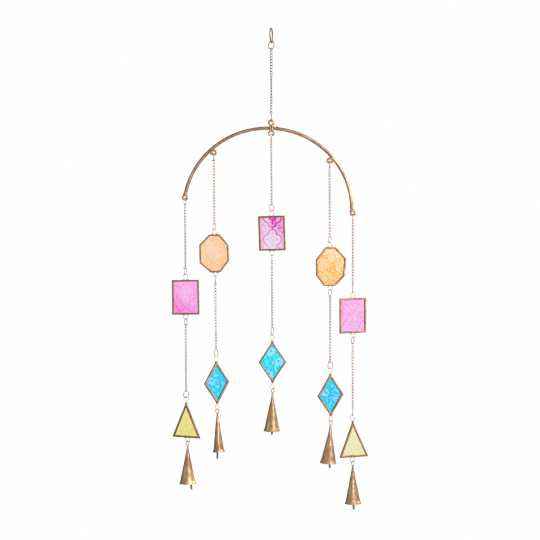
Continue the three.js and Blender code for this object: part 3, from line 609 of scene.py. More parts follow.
# %% The arch rod
DOUBLE_RADIUS, DOUBLE_SPACING, SIDE_RADIUS = 3.5, 15.4, 3.15
ARCH_HALF_WIDTH, ARCH_RISE, ARCH_SIDE_SHIFT = 121.9, 117.5, -5.1
ARCH_RIGHT_END, ARCH_LEFT_END, ARCH_STEPS = -0.7, 169.7, 220
LEFT_EYE_AT, RIGHT_EYE_AT, EYE_INSIDE_ARCH, EYE_BELOW_END = 132.6, 39.2, 6.4, 4.4

eye_middle = chain_hook + top_rest + GAP + EYE_ROD / 2 - DOUBLE_RADIUS - DOUBLE_SPACING / 2
arch_behind = (ARCH_ROD + EYE_ROD) / 2 + GAP
arch_middle = eye_middle - ARCH_RISE * math.sqrt(1 - (ARCH_SIDE_SHIFT / ARCH_HALF_WIDTH) ** 2)


def arch_point(degrees):
    a = math.radians(degrees)
    return Vector((ARCH_SIDE_SHIFT + ARCH_HALF_WIDTH * math.cos(a), 0, arch_middle + ARCH_RISE * math.sin(a)))


def arch_inward(degrees):
    a = math.radians(degrees)
    return Vector((-math.cos(a) / ARCH_HALF_WIDTH, 0, -math.sin(a) / ARCH_RISE)).normalized()


def hand_worked(mesh, size, depth, seed):
    """Moves each vertex along its normal by smooth noise, so that a surface looks worked by hand."""
    spots = [v.co + v.normal * (depth * noise.noise(v.co / size + Vector((seed, 0, 0))))
             for v in mesh.vertices]
    mesh.vertices.foreach_set("co", [value for spot in spots for value in spot])
    mesh.update()
    return mesh


arch_points = [arch_point(ARCH_RIGHT_END + (ARCH_LEFT_END - ARCH_RIGHT_END) * i / ARCH_STEPS)
               for i in range(ARCH_STEPS + 1)]
arch_mesh = hand_worked(wire(arch_points, ARCH_ROD, corners=16), size=6.0, depth=0.2, seed=3)
hand_over("arch_of_rod", arch_mesh, shift(0, arch_behind, 0), arch_brass, ["arch_rod"])
print("arch", len(arch_points), "points")

# %% The double eye and the four side eyes


def double_eye_points():
    """From the cut end up the left of the lower eye, round the upper one, and down round the lower again."""
    up, down, strand = DOUBLE_SPACING / 2, -DOUBLE_SPACING / 2, EYE_ROD / 2
    return [*arc(0, down, DOUBLE_RADIUS, 236, 122, 8), (-strand, 0, down + 4), (-strand, 0, up - 4),
            *arc(0, up, DOUBLE_RADIUS, 238, -58, 16), (strand, 0, up - 4), (strand, 0, down + 4),
            *arc(0, down, DOUBLE_RADIUS, 58, -92, 10)]


def side_eye_points(side, cut_at, leave_at, tail):
    """From the cut end, which is curled on until it meets its own tail, round the eye and along the tail."""
    closing = leave_at + 360 - cut_at - 42
    closing_arc = arc(0, 0, SIDE_RADIUS, cut_at + closing, cut_at, 7)
    curl = [(x, 0.12 * i - 0.72, z) for i, (x, _, z) in enumerate(closing_arc[:-1])]
    round_part = arc(0, 0, SIDE_RADIUS, cut_at, leave_at, 13)
    leaving = math.radians(leave_at - 90)
    x, _, z = round_part[-1]
    for share in (0.5, 1):
        round_part.append((x + share * tail * math.cos(leaving), 0, z + share * tail * math.sin(leaving)))
    return [(side * x, y, z) for x, y, z in [*curl, *round_part]]


def braze_lump(centre, size, seed):
    """A lump of melted brass: a ball pressed out of round by noise."""
    build = bmesh.new()
    bmesh.ops.create_icosphere(build, subdivisions=3, radius=1.0)
    for v in build.verts:
        bulge = 1 + 0.28 * noise.noise(v.co * 1.6 + Vector((seed, 0, 0)))
        v.co = Vector(centre) + Vector([v.co[i] * size[i] * bulge for i in range(3)])
    mesh = bpy.data.meshes.new("braze")
    build.to_mesh(mesh)
    build.free()
    return mesh


double_lumps = [braze_lump((3.6, 3.4, 1.2), (2.0, 2.2, 1.9), 1),
                braze_lump((-3.4, 3.0, -0.9), (1.5, 1.9, 1.6), 2),
                braze_lump((8.6, 4.1, 2.0), (1.6, 1.8, 0.9), 4)]
double_mesh = joined([wire(smooth_path(double_eye_points()), EYE_ROD, corners=14), *double_lumps], "eye")
hand_over("double_eye_of_rod", double_mesh, shift(0, 0, eye_middle), eye_brass,
          ["top_double_eye"])
hooks = {"centre": Vector((0, 0, eye_middle - DOUBLE_SPACING / 2 - DOUBLE_RADIUS + EYE_ROD / 2))}

SIDE_EYES = {
    "outer_left": (
        "left_end_eye", arch_point(ARCH_LEFT_END) + Vector((0, 0, -EYE_BELOW_END)), 1, 65, -202, 5.2),
    "inner_left": (
        "left_inner_eye", arch_point(LEFT_EYE_AT) + EYE_INSIDE_ARCH * arch_inward(LEFT_EYE_AT),
        1, 107, -125, 6.4),
    "inner_right": (
        "right_inner_eye", arch_point(RIGHT_EYE_AT) + EYE_INSIDE_ARCH * arch_inward(RIGHT_EYE_AT),
        -1, 135, -127, 6.4),
    "outer_right": (
        "right_end_eye", arch_point(ARCH_RIGHT_END) + Vector((1.4, 0, -EYE_BELOW_END)), 1, 62, -190, 5.2),
}
for index, (strand, (node, centre, side, cut_at, leave_at, tail)) in enumerate(SIDE_EYES.items()):
    towards = Vector((0, 0, 1)) if "end" in node else -arch_inward(LEFT_EYE_AT if side > 0 else RIGHT_EYE_AT)
    lump = braze_lump(towards * 4.3 + Vector((0, 2.1, 0)), (2.3, 1.9, 1.4), 11 + index)
    path = smooth_path(side_eye_points(side, cut_at, leave_at, tail))
    mesh = joined([wire(path, EYE_ROD, corners=14), lump], "eye")
    hand_over(f"{node}_of_rod", mesh, Matrix.Translation(centre), eye_brass, [node])
    hooks[strand] = Vector((centre.x, 0, centre.z + EYE_ROD / 2 - SIDE_RADIUS))
print("strands hang from", {name: [round(v, 1) for v in hook] for name, hook in hooks.items()})

# %% [markdown]
# ## Panes in brass channel
# Each pane's edge sits in a folded brass channel, mitred at the corners. The channel is one cross-section
# carried round the outline, so its mesh is a ring of rows: each row is the cross-section at one step along
# a side. The corners need no cutting, because a point at a given distance inside the outline is found the
# same way for every distance.

# %% Outlines and the channel


def outline_of(spec):
    return [Vector((across * spec["width"], -down * spec["height"])) for across, down in spec["outline"]]


def inset(outline, distance):
    """The outline moved inwards by a distance, with mitred corners. It runs clockwise."""
    moved = []
    for before, corner, after in zip([outline[-1], *outline], outline, [*outline[1:], outline[0]]):
        arriving, leaving = (corner - before).normalized(), (after - corner).normalized()
        inward = Vector((arriving.y + leaving.y, -arriving.x - leaving.x))
        moved.append(corner + inward * (distance / (1 + arriving.dot(leaving))))
    return moved


def edge_level(outline, across, sign):
    """The height of the outline's edge at a place across it, at the top (1) or at the foot (-1)."""
    levels = []
    for a, b in zip(outline, [*outline[1:], outline[0]]):
        if a.x != b.x and min(a.x, b.x) <= across <= max(a.x, b.x):
            levels.append(a.y + (b.y - a.y) * (across - a.x) / (b.x - a.x))
    return sign * max(sign * level for level in levels)


def channel_section():
    """The folded strip's cross-section, as (distance inside the outline, depth)."""
    half, fold, lip = CHANNEL_DEPTH / 2, 0.5, 0.25
    front = [(CHANNEL_FACE, half - CHANNEL_WALL)]
    for inside, radius, first in ((CHANNEL_FACE - lip, lip, 0), (fold, fold, 90)):
        for step in range(4):
            a = math.radians(first + 30 * step)
            front.append((inside + radius * math.cos(a), half - radius + radius * math.sin(a)))
    return [(CHANNEL_WALL, half - CHANNEL_WALL), *front,
            *[(inside, -depth) for inside, depth in reversed(front)], (CHANNEL_WALL, CHANNEL_WALL - half)]


def channel(outline, seed, steps=16):
    section = channel_section()
    rings = [inset(outline, inside) for inside, _ in section]
    points = []
    for corner in range(len(outline)):
        for step in range(steps):
            for ring, (_, depth) in zip(rings, section):
                spot = ring[corner].lerp(ring[(corner + 1) % len(outline)], step / steps)
                points.append(Vector((spot.x, depth, spot.y)))
    rows, across = len(outline) * steps, len(section)
    faces = [[row * across + k, row * across + (k + 1) % across,
              (row + 1) % rows * across + (k + 1) % across, (row + 1) % rows * across + k]
             for row in range(rows) for k in range(across)]
    mesh = bpy.data.meshes.new("channel")
    mesh.from_pydata(points, [], faces)
    return hand_worked(mesh, size=7.0, depth=0.16, seed=seed)


print("channel section has", len(channel_section()), "points")

# %% [markdown]
# ## The loops on a pane
# A loop is a bit of tinned wire bent like the letter omega. On a straight edge its feet lie along the edge.
# At a tip it is a drop, and its feet run down the two sides. Solder covers the feet and takes on the colour
# of the brass.

# %% Loops and their solder


def edge_loop(rise):
    half = (LOOP_WIDTH - LOOP_WIRE) / 2
    middle = rise - LOOP_WIRE / 2 - half
    bend = arc(0, middle, half, 238, -58, 13)
    return [(-4.4, 0, -0.1), (-3.0, 0, -0.05), (-1.9, 0, 0.25), *bend, (1.9, 0, 0.25), (3.0, 0, -0.05),
            (4.4, 0, -0.1)]


def tip_loop(rise, slope):
    half = (DROP_LOOP_WIDTH - LOOP_WIRE) / 2
    middle = rise - LOOP_WIRE / 2 - half
    bend = arc(0, middle, half, 202, -22, 11)
    return [(-3.4 * slope, 0, -3.6), (-0.9, 0, -0.5), (-1.3, 0, middle * 0.35), *bend,
            (1.3, 0, middle * 0.35), (0.9, 0, -0.5), (3.4 * slope, 0, -3.6)]


def loops_and_solder(spec, outline, seed):
    """The two wire loops, and the solder on their feet."""
    loops, solder = [], []
    for sign, across, rise in ((1, 0, spec["above"]), (-1, spec["foot"], spec["below"])):
        level = edge_level(outline, across, sign)
        pointed = spec["outline"][0][0] == 0 and (sign > 0 or len(outline) == 4)
        slope = (outline[1].x - outline[0].x) / (outline[0].y - outline[1].y) if pointed else 0
        points = tip_loop(rise, slope) if pointed else edge_loop(rise)
        flip = shift(across, 0, level) @ Matrix.Diagonal((1, 1, sign, 1))
        loops.append(wire([flip @ p for p in smooth_path(points, 4)], LOOP_WIRE))
        if pointed:
            lumps = [((side * 1.6 * slope, 0, -1.5), (0.9, 1.9, 1.5)) for side in (-1, 1)]
            lumps.append(((0, 0, -0.6), (1.3, 1.9, 1.1)))
        else:
            lumps = [((side * 3.1, 0, -0.15), (2.2, 1.7, 0.85)) for side in (-1, 1)]
        for place, size in lumps:
            seed += 1
            solder.append(braze_lump(flip @ Vector(place), size, seed))
    return joined(loops, "loops"), solder, level - spec["below"] + LOOP_WIRE


print("loops ready")

# %% [markdown]
# ## Pressed glass
# The panes are cut from pressed sheet: a raised pattern on the front, colour brushed on unevenly, and more
# colour where it ran into the hollows. A real raised pattern needs real mesh. A fine grid is cut to the
# outline with straight cuts, as a glazier scores a sheet, and its front is raised by a height worked out for
# each vertex. The same height is kept on the mesh as the attribute "relief", and where the colour is deeper
# as a second attribute, so that the material can put the colours where the pattern is. On the rose pane that
# deeper colour also holds painted shade: a band along the two upright edges, next to the channel, stands in
# for the channel's shadow on the glass.

# %% Measures on the sheet


def unit(value):
    """The value, held between 0 and 1."""
    return np.clip(value, 0, 1)


def to_path(x, z, path):
    """The distance from each point to the nearest part of a path."""
    nearest = np.full(x.shape, 1e9)
    for (ax, az), (bx, bz) in zip(path, path[1:]):
        dx, dz = bx - ax, bz - az
        t = unit(((x - ax) * dx + (z - az) * dz) / (dx * dx + dz * dz))
        nearest = np.minimum(nearest, np.hypot(x - ax - t * dx, z - az - t * dz))
    return nearest


def drawn(x, z, strokes):
    """Soft lines: a stroke is (strength, half width, points in millimetres), and the strongest one counts."""
    sheet = np.zeros(x.shape)
    for strength, half_width, points in strokes:
        path = [(p.x, p.y) for p in smooth_path([(a, b, 0) for a, b in points], 3)]
        line = unit(1 - to_path(x, z, path) / (1.6 * half_width))
        sheet = np.maximum(sheet, strength * line * line * (3 - 2 * line))
    return sheet


def dot(x, z, strength, size):
    return (strength, size, [(x, z), (x + 0.3, z - 0.3)])


def round_stroke(x, z, width, height, start, end, strength, half_width):
    """A stroke along part of an oval, from one angle to another."""
    angles = np.radians(np.linspace(start, end, max(4, int(abs(end - start) / 20))))
    points = [(x + width / 2 * math.cos(a), z + height / 2 * math.sin(a)) for a in angles]
    return (strength, half_width, points)


def mirrored(strokes, middle, share):
    return [(share * strength, width, [(2 * middle - a, b) for a, b in points])
            for strength, width, points in strokes]


def grain(x, z, size, seed):
    """Smooth noise over the sheet, from -1 to 1."""
    return np.array([noise.noise(Vector((a / size, b / size, seed))) for a, b in zip(x, z)])


def slope(value, low, high):
    t = unit((value - low) / (high - low))
    return t * t * (3 - 2 * t)


print("sheet measures ready")

# %% The rose pane: an ogee lattice with a quatrefoil, and a leaf above
ROSE_MIDDLE = 0.8
ogee_side = [
    (1.0, 1.0, [(0.8, 7.5), (3, 8.6), (5.3, 10.6), (7.7, 14.6), (9.8, 16), (12.2, 17.9), (13.2, 20.3),
                (13.2, 23)]),
    (1.0, 0.95, [(0.8, 5.4), (3.8, 4.5), (6.0, 2.4), (7.1, -0.2), (7.3, -2.6)]),
    (0.85, 0.85, [(7.3, -2.6), (9.8, -2.5), (12.2, -4.2), (13.6, -7.2), (13.5, -11), (11.4, -15),
                  (8.5, -17.4), (6.7, -19.6), (5.8, -23)]),
    (0.45, 0.65, [(0.8, -5), (3.5, -6.6), (6.3, -7.2), (8.3, -9), (6, -11.2), (3, -12.4), (0.8, -14.5)]),
    (0.3, 0.6, [(15.6, 12), (15.9, 4), (16.2, -4), (15.8, -12), (16, -22)]),
]
rose_lines = [
    *ogee_side, *mirrored(ogee_side, ROSE_MIDDLE, 0.8),
    (0.8, 0.7, [(0.8, 7.9), (0.8, 5.6)]),
    (1.1, 1.9, [(0.6, 16.2), (0.7, 13.6)]),
    dot(-2.4, 21.2, 1.0, 2.3), dot(3.4, 21.2, 1.1, 2.7), dot(0.8, 18.8, 1.1, 2.0),
    round_stroke(0.8, 15.4, 8.2, 13, 60, -100, 0.75, 1.1),
    round_stroke(0.8, 15.4, 8.2, 13, 120, 240, 0.4, 0.8),
    dot(11.4, 10.7, 0.8, 1.0), dot(10.2, 6.8, 0.95, 1.4), dot(11.8, 3.3, 0.6, 1.0), dot(14.4, 1.4, 0.7, 1.0),
    dot(-13, 12.5, 0.45, 1.0), dot(-9.8, 11.2, 0.5, 1.0), dot(-8.1, 6.9, 0.5, 1.0), dot(-8.9, 3.2, 0.4, 0.9),
    dot(-13, 1.4, 0.5, 1.0), dot(-5.7, -8.9, 0.4, 1.0), dot(8.1, -8.9, 0.65, 1.2), dot(11, -21.4, 0.9, 1.3),
    dot(-13, -19.2, 0.4, 1.0), dot(0.8, -17, 0.45, 1.2), dot(1.2, 1.0, 0.3, 1.6), dot(-14.4, 20.7, 0.7, 1.1),
    dot(16.2, 19.8, 0.8, 1.4), dot(-5.4, -9.3, 0.6, 1.1), dot(7.0, -9.3, 0.7, 1.1), dot(0.8, -2.4, 0.6, 1.1),
    dot(0.8, -9.6, 0.5, 1.3), dot(13.2, 7.6, 0.8, 1.1), dot(9.0, 11.2, 0.7, 1.0), dot(15.2, -15.6, 0.6, 1.1),
]
rose_flower = [
    round_stroke(0.8, -1.2, 4.4, 7.2, 0, 360, 0.8, 0.9), round_stroke(-5.2, -9.4, 7, 4.4, 0, 360, 0.7, 0.9),
    round_stroke(6.8, -9.4, 7, 4.4, 0, 360, 0.8, 0.9), round_stroke(0.8, -17, 4.4, 7.2, 0, 360, 0.7, 0.9),
    (0.6, 0.9, [(-9.5, 21), (-6, 17.5), (-4, 14)]), (0.5, 0.9, [(10.6, 21), (8.5, 18.5)]),
]
print("rose pane:", len(rose_lines), "dyed lines and", len(rose_flower), "raised ones")

# %% The pink panes: large ogee lines on faint flowers
pink_left_half = [
    (0.42, 0.9, [(0.2, -13.6), (3.7, -10.6), (6.5, -6.3), (10.2, -3.3), (13, 1)]),
    (0.3, 0.8, [(13, 1), (13.4, 5.5), (11, 10), (7, 14.5), (3, 19), (0.2, 21.3)]),
    (0.45, 0.8, [(0.2, -13.6), (3, -17), (7, -20), (9, -23)]),
    (0.35, 0.9, [(15, -10), (12.5, -14), (11.5, -18), (13, -22)]),
]
pink_lines = {
    "outer_left": [*pink_left_half, *mirrored(pink_left_half, 0.2, 1.3), dot(-11.5, 15.2, 0.6, 1.8),
                   dot(-12.6, 0.6, 0.7, 1.4), dot(-10, -18.6, 0.7, 1.8), dot(-13.6, -14, 0.6, 1.7),
                   dot(4, -15.6, 0.5, 1.2), dot(5.4, 1.8, 0.6, 1.1), dot(0.4, 3, 0.5, 1.2),
                   dot(8.4, 3.8, 0.4, 1.2)],
    "outer_right": [
        (0.75, 0.8, [(7.9, 17), (7.2, 13.4), (5.6, 10.4), (2.4, 7.3), (0, 3.6), (-4.1, 0.8), (-7.7, -2.8),
                     (-10.2, -6.9), (-13.4, -11), (-15, -14)]),
        (0.7, 0.8, [(15.5, -7.4), (11.6, -10.6), (8.9, -15), (7.3, -19), (5.7, -23)]),
        (0.5, 0.8, [(-15.5, 13.4), (-13.4, 10), (-11, 7.3), (-7.3, 3.7), (-4.6, 1)]),
        (0.4, 0.9, [(13, 4.4), (8.6, 4.4), (5.4, 6.4)]), (0.35, 0.8, [(2, -8), (7, -9.6), (9.6, -13.4)]),
        dot(-4.9, 18, 0.6, 1.2), dot(-9.4, 15.8, 0.7, 1.4), dot(-0.6, 18.4, 0.5, 1.1),
        dot(3.2, 16.6, 0.45, 1.1),
        dot(4.9, 0, 0.6, 1.2), dot(9.4, 0, 0.45, 1.1), dot(7, -3.3, 0.4, 1.1), dot(-5.6, -14.2, 0.5, 1.2),
        dot(-0.6, -14.2, 0.5, 1.2), dot(3.3, -16.8, 0.6, 1.2), dot(-2.4, -18.6, 0.5, 1.2),
        (0.5, 1.2, [(-15.8, 21), (-15.9, 14), (-15.4, 5), (-15.6, 1)]), dot(13.4, 2, 0.4, 1.2)],
}
pink_raised = [
    dot(-7.3, 19.2, 0.9, 1.9), dot(2, -6.2, 1.0, 1.5), dot(10.8, -9.6, 0.8, 1.5), dot(4.9, 10.4, 0.5, 1.5),
    dot(-13.6, 6.8, 0.5, 1.5), round_stroke(0.2, 13.4, 6, 9, 0, 360, 0.5, 1.1),
    round_stroke(0.2, 2.2, 5, 6, 0, 360, 0.45, 0.9), (0.4, 1.0, [(-12, 10), (-8.5, 4), (-4, -1)]),
    (0.4, 1.0, [(12, 10), (8.5, 4), (5, -1)]), (0.6, 1.2, [(-10.2, -13.8), (-8, -15), (-5.7, -17.9)]),
    (0.4, 1.1, [(-4, -21), (2, -20), (8, -22)]),
]
print("pink panes:", {name: len(lines) for name, lines in pink_lines.items()})

# %% The blue and orange panes: scrolls


def scroll(x, z, size, turned, strength=1.0):
    """A curled frond: three pale ovals one in another round a slanted core, which holds more colour."""
    lean = math.cos(math.radians(turned)), math.sin(math.radians(turned))
    pale = [round_stroke(x, z, size * s, size * s * 1.15, turned + 30, turned + 30 + reach, strength, 0.62)
            for s, reach in ((0.8, 330), (1.35, 300), (1.9, 230))]
    core = (strength, 0.9, [(x - 0.2 * size * lean[0], z - 0.2 * size * lean[1]),
                            (x + 0.2 * size * lean[0], z + 0.2 * size * lean[1])])
    return pale, [core]


def dots_round(x, z, radius, count, strength, size):
    angles = [2 * math.pi * i / count for i in range(count)]
    return [dot(x + radius * math.cos(a), z + radius * math.sin(a), strength, size) for a in angles]


top_frond, top_core = scroll(-1.9, 16, 5.6, 130)
right_frond, right_core = scroll(8.6, 1.0, 6.2, 130)
low_frond, low_core = scroll(-5, -17, 6.4, 60)
swirl_frond, _ = scroll(-7.5, 3.5, 5.6, 110, 0.8)
arch_frond, _ = scroll(9.5, -7, 5.2, 60, 0.8)

BLUE_LINES = {
    "centre": (
        [*top_frond, *right_frond, *low_frond, *dots_round(-8, 1, 2.2, 4, 0.6, 0.9),
         (0.8, 1.1, [(7, -3), (4.6, -6), (4, -9.5), (5.6, -13)]), dot(1.8, 8.2, 1.0, 1.0),
         dot(4.8, 9.8, 0.8, 1.0),
         (0.9, 0.9, [(0.2, 0.8), (0.6, -2), (-0.2, -4.4)]), (0.7, 0.8, [(-8.4, 9.6), (-5.4, 10), (-3, 8.4)]),
         dot(-10.2, 6.6, 0.9, 1.1), (0.7, 0.7, [(-0.6, -7), (1.4, -10.6), (4.4, -15)]),
         (0.7, 0.8, [(-9.6, -4.4), (-6.6, -3.4), (-5.2, -6)])],
        [*top_core, *right_core, *low_core, *dots_round(-8, 1, 4.9, 8, 0.75, 1.0), dot(10.2, -6, 0.9, 1.3),
         dot(6.8, -9.4, 1.0, 1.6),
         (0.85, 0.8, [(5.1, 15), (4.4, 12), (1.2, 9.4), (1.6, 5), (2.9, -1.3), (0.6, -5.4), (1.4, -10.4),
                      (5.1, -15.6)]),
         (0.85, 0.8, [(-9.5, -10.4), (-4.3, -10.2), (-0.9, -12.8), (2.6, -17.6)])]),
    "inner_left": (
        [*swirl_frond, dot(-3, 15, 0.9, 1.1), dot(-2.6, 11.8, 0.8, 0.9),
         (0.8, 0.9, [(-2.5, 9), (0, 10.2), (2.4, 10.6)]), dot(-3.8, 1.6, 0.9, 0.9), dot(-4.4, -2.2, 1.0, 1.0),
         (0.9, 0.8, [(-2, -5), (0.6, -6.4), (3, -5.4), (3.6, -3)]),
         dot(3.4, -7.6, 0.8, 0.9), (0.8, 0.9, [(-6, -8.8), (-3.6, -10.4), (-2.4, -12)]),
         dot(1.8, -16, 0.9, 1.1),
         (0.7, 1.1, [(6, 6), (8.6, 0), (9, -5)]), (0.6, 0.9, [(0.6, 4), (2.6, 0), (1, -3)])],
        [(0.9, 1.0, [(5, 11), (4.8, 5), (6.6, 0), (6.4, -6), (4, -12)]), dot(-7, 2.8, 0.9, 1.3),
         dot(2, 6.4, 0.8, 1.1),
         dot(2.4, -3, 0.9, 1.3), (0.7, 0.8, [(-7.6, 12), (-4.6, 7), (-1, 6)]), dot(-9.4, -4, 0.9, 1.2),
         (0.7, 0.8, [(-2.6, -8), (-6, -5), (-7.6, -7)]), dot(-1.4, -14.4, 0.7, 1.3)]),
    "inner_right": (
        [*swirl_frond, *arch_frond, (0.9, 0.9, [(-12, 1), (-7.4, -0.4), (-2.4, -1), (1, 0.6), (4.4, 2.4)]),
         dot(1.6, 12.4, 1.0, 1.4), dot(-4.4, 19, 0.8, 1.3), (0.8, 0.8, [(6, 8), (9, 6), (11.4, 3)]),
         (0.8, 0.9, [(-3, -4.6), (-5, -8), (-4.6, -12)]), (0.7, 0.8, [(1, -4), (4, -7), (7, -8)]),
         (0.8, 1.0, [(-1.6, -17), (-0.4, -13), (1, -10)]), dot(5, -2, 0.9, 1.1), dot(10, 6, 0.8, 1.0)],
        [(0.9, 0.9, [(-0.6, 14), (-0.4, 8), (-1, 3), (-3, -1.4), (-3.4, -6), (-3.6, -12)]),
         (0.85, 0.8, [(-13.4, -1), (-8, -2.4), (-3, -1.4)]),
         (0.9, 0.9, [(-3, -2.6), (1.4, 0.6), (4.6, -1.6), (8, -3)]),
         (0.9, 1.0, [(-9, 5.6), (-6.6, 3), (-5, 0.8)]), dot(3, 3, 1.0, 1.2), dot(3, 7.2, 0.9, 1.1),
         dot(7.2, 2.2, 0.9, 1.1), dot(10, 2.6, 0.9, 1.2), (0.85, 1.0, [(1, -6.4), (4.4, -9.4), (6, -12)]),
         dot(-8.4, -8, 0.9, 1.4), dot(-6.4, -11.6, 1.0, 1.5), dot(1, -16, 0.9, 1.3)]),
}
peach_raised = [
    round_stroke(0.8, 1.8, 4.6, 12, 0, 360, 0.75, 0.9), (0.7, 1.2, [(4.2, 9), (7.4, 4), (10.4, -3.4)]),
    (0.6, 1.0, [(-6, 16), (-3.4, 12.6)]), dot(-9.3, 18.8, 0.8, 1.4), dot(6.4, -6.8, 0.9, 1.5),
    (0.6, 1.1, [(-9.4, -11), (-8.6, -15)]), (0.5, 1.1, [(2, -8), (2.2, -13)]), dot(1.8, -19.6, 0.7, 1.2),
    dot(-10, 10, 0.5, 1.8), dot(11, 9, 0.5, 1.6), dot(13, -11, 0.5, 1.4),
]
amber_frond, _ = scroll(-9, 2.6, 7.2, 75, 0.85)
amber_low, _ = scroll(-6, -13.6, 7.6, 80, 0.7)
amber_top, _ = scroll(0.6, 11.8, 4.6, 90, 0.8)
amber_right, _ = scroll(14, -1.6, 7.0, 100, 0.75)
amber_raised = [*amber_frond, *amber_low, *amber_top, *amber_right, dot(17.4, 4.4, 1.0, 2.0),
                dot(8, -10.4, 1.0, 1.4),
                dot(-6, -10.6, 1.0, 1.3), (0.9, 0.9, [(6, 19), (8, 15.4), (12, 12)]),
                (0.8, 0.9, [(-4, 22), (-9, 17)])]
print("blue panes:", {name: (len(pale), len(deep)) for name, (pale, deep) in BLUE_LINES.items()})

# %% What is raised and what holds more colour, for each pane
RELIEF_DEPTH, FRONT_RIPPLE, BACK_RIPPLE = 0.16, 0.05, 0.04


def ribs(x, z, period, seed):
    """Slanted wavy ribs that fade in and out."""
    along = 0.7 * x + 0.7 * z + 0.9 * np.sin((x - z) * 0.3) + 0.5 * np.sin(0.6 * z)
    fade = unit(0.55 + 1.7 * grain(x, z, 6.5, seed))
    return fade * unit(np.sin(2 * np.pi * along / period))


def pattern_of(strand, kind, x, z):
    """Two values from 0 to 1 for each point: how far it stands up, and how deep its colour is, from dye that
    ran there and from painted shade along the rose pane's upright edges.
    """
    if kind == "rose":
        lines = 1.15 * drawn(x, z, rose_lines) * (0.75 + 0.25 * slope(z + 0.4 * x, -14, 12))
        speckle = 0.45 * unit(3.4 * grain(x, z, 1.9, 31) - 0.7) * (0.4 + 0.6 * slope(x + 0.6 * z, -12, 16))
        # Painted shade: deeper colour in a band along the two upright edges, next to the channel, stands in
        # for the channel's shadow on the glass.
        edges = 0.55 * slope(np.abs(x + 0.3), 15.6, 17.4) * (0.6 + 0.6 * grain(x, z, 2.4, 3))
        blush = 0.3 * slope(x + 0.3 * z, 2, 12) * slope(z, -8, 8) + 0.2 * slope(-x, 5, 16)
        lobes = np.minimum(np.hypot(x - 0.8, (z + 9.2) * 1.05), np.hypot((x - 0.8) * 0.72, z + 9.2))
        milky = 0.75 * slope(-lobes, -9.5, -5.0)
        frosted = 0.5 * slope(-x - 0.2 * z, -8, 10) + 0.35 * unit(2.2 * grain(x, z, 2.2, 15))
        pale = np.maximum(np.maximum(drawn(x, z, rose_flower), milky), frosted)
        return unit(pale), unit(np.maximum(np.maximum(lines, edges), speckle) + blush)
    if kind == "pink":
        left = strand == "outer_left"
        # Deeper colour towards the left: towards the lower left on the left pane, and more faintly towards
        # the upper left on the right one.
        deeper_leftwards = 0.55 * slope(-x - 1.3 * z, -6, 34) if left else 0.2 * slope(-x + 0.4 * z, 4, 20)
        mottle = 0.16 * unit(grain(x, z, 2.0, 8) + 0.2)
        raised = drawn(x, z, pink_raised) * (1.0 if left else 0.45)
        if left:
            flowers = slope(-np.hypot(x / 1.05, (z - 2) / 1.3), -19, -7)
            raised = np.maximum(raised, (0.25 + 0.75 * flowers) * unit(2.6 * grain(x, z, 1.9, 17)))
        return raised, unit(drawn(x, z, pink_lines[strand]) + deeper_leftwards + mottle)
    if kind == "orange" and strand == "inner_left":
        glow = 0.5 * slope(-np.hypot((x - 2) / 1.1, (z - 4) / 1.25), -15, -4)
        streaks = unit(0.15 + 1.1 * grain(0.3 * (x + z), x - z, 2.4, 4))
        fine = 0.55 * streaks + 0.2 * slope(0.5 * z - x, -4, 16)
        return (unit(np.maximum(drawn(x, z, peach_raised), glow) + fine),
                unit(0.6 * grain(x, z, 3.0, 6)))
    if kind == "orange":
        raised = np.maximum(drawn(x, z, amber_raised), 0.8 * ribs(x, z, 3.8, 11))
        pale_top = 0.45 * slope(z + 0.3 * x, 6, 22)
        return unit(raised + pale_top), unit(0.9 * grain(x, z, 2.6, 2) + 0.25 * slope(-z, -6, 14))
    if kind == "blue":
        pale, deep = BLUE_LINES[strand]
        raised = np.maximum(drawn(x, z, pale), 0.35 * unit(grain(x, z, 2.2, 7) + 0.1))
        sunk = drawn(x, z, deep)
        return raised * (1 - 0.8 * sunk), unit(sunk + 0.35 * unit(grain(x, z, 2.2, 12)))
    clouds = 1.1 if strand == "outer_left" else 0.7
    warm = unit(clouds * grain(x, z, 3.2, 13) + 0.25 * slope(-z, 2, 18))
    return unit(0.45 + clouds * grain(x, z, 2.3, 9) + 0.25 * slope(z, 2, 22)), warm


# %% A pane of glass


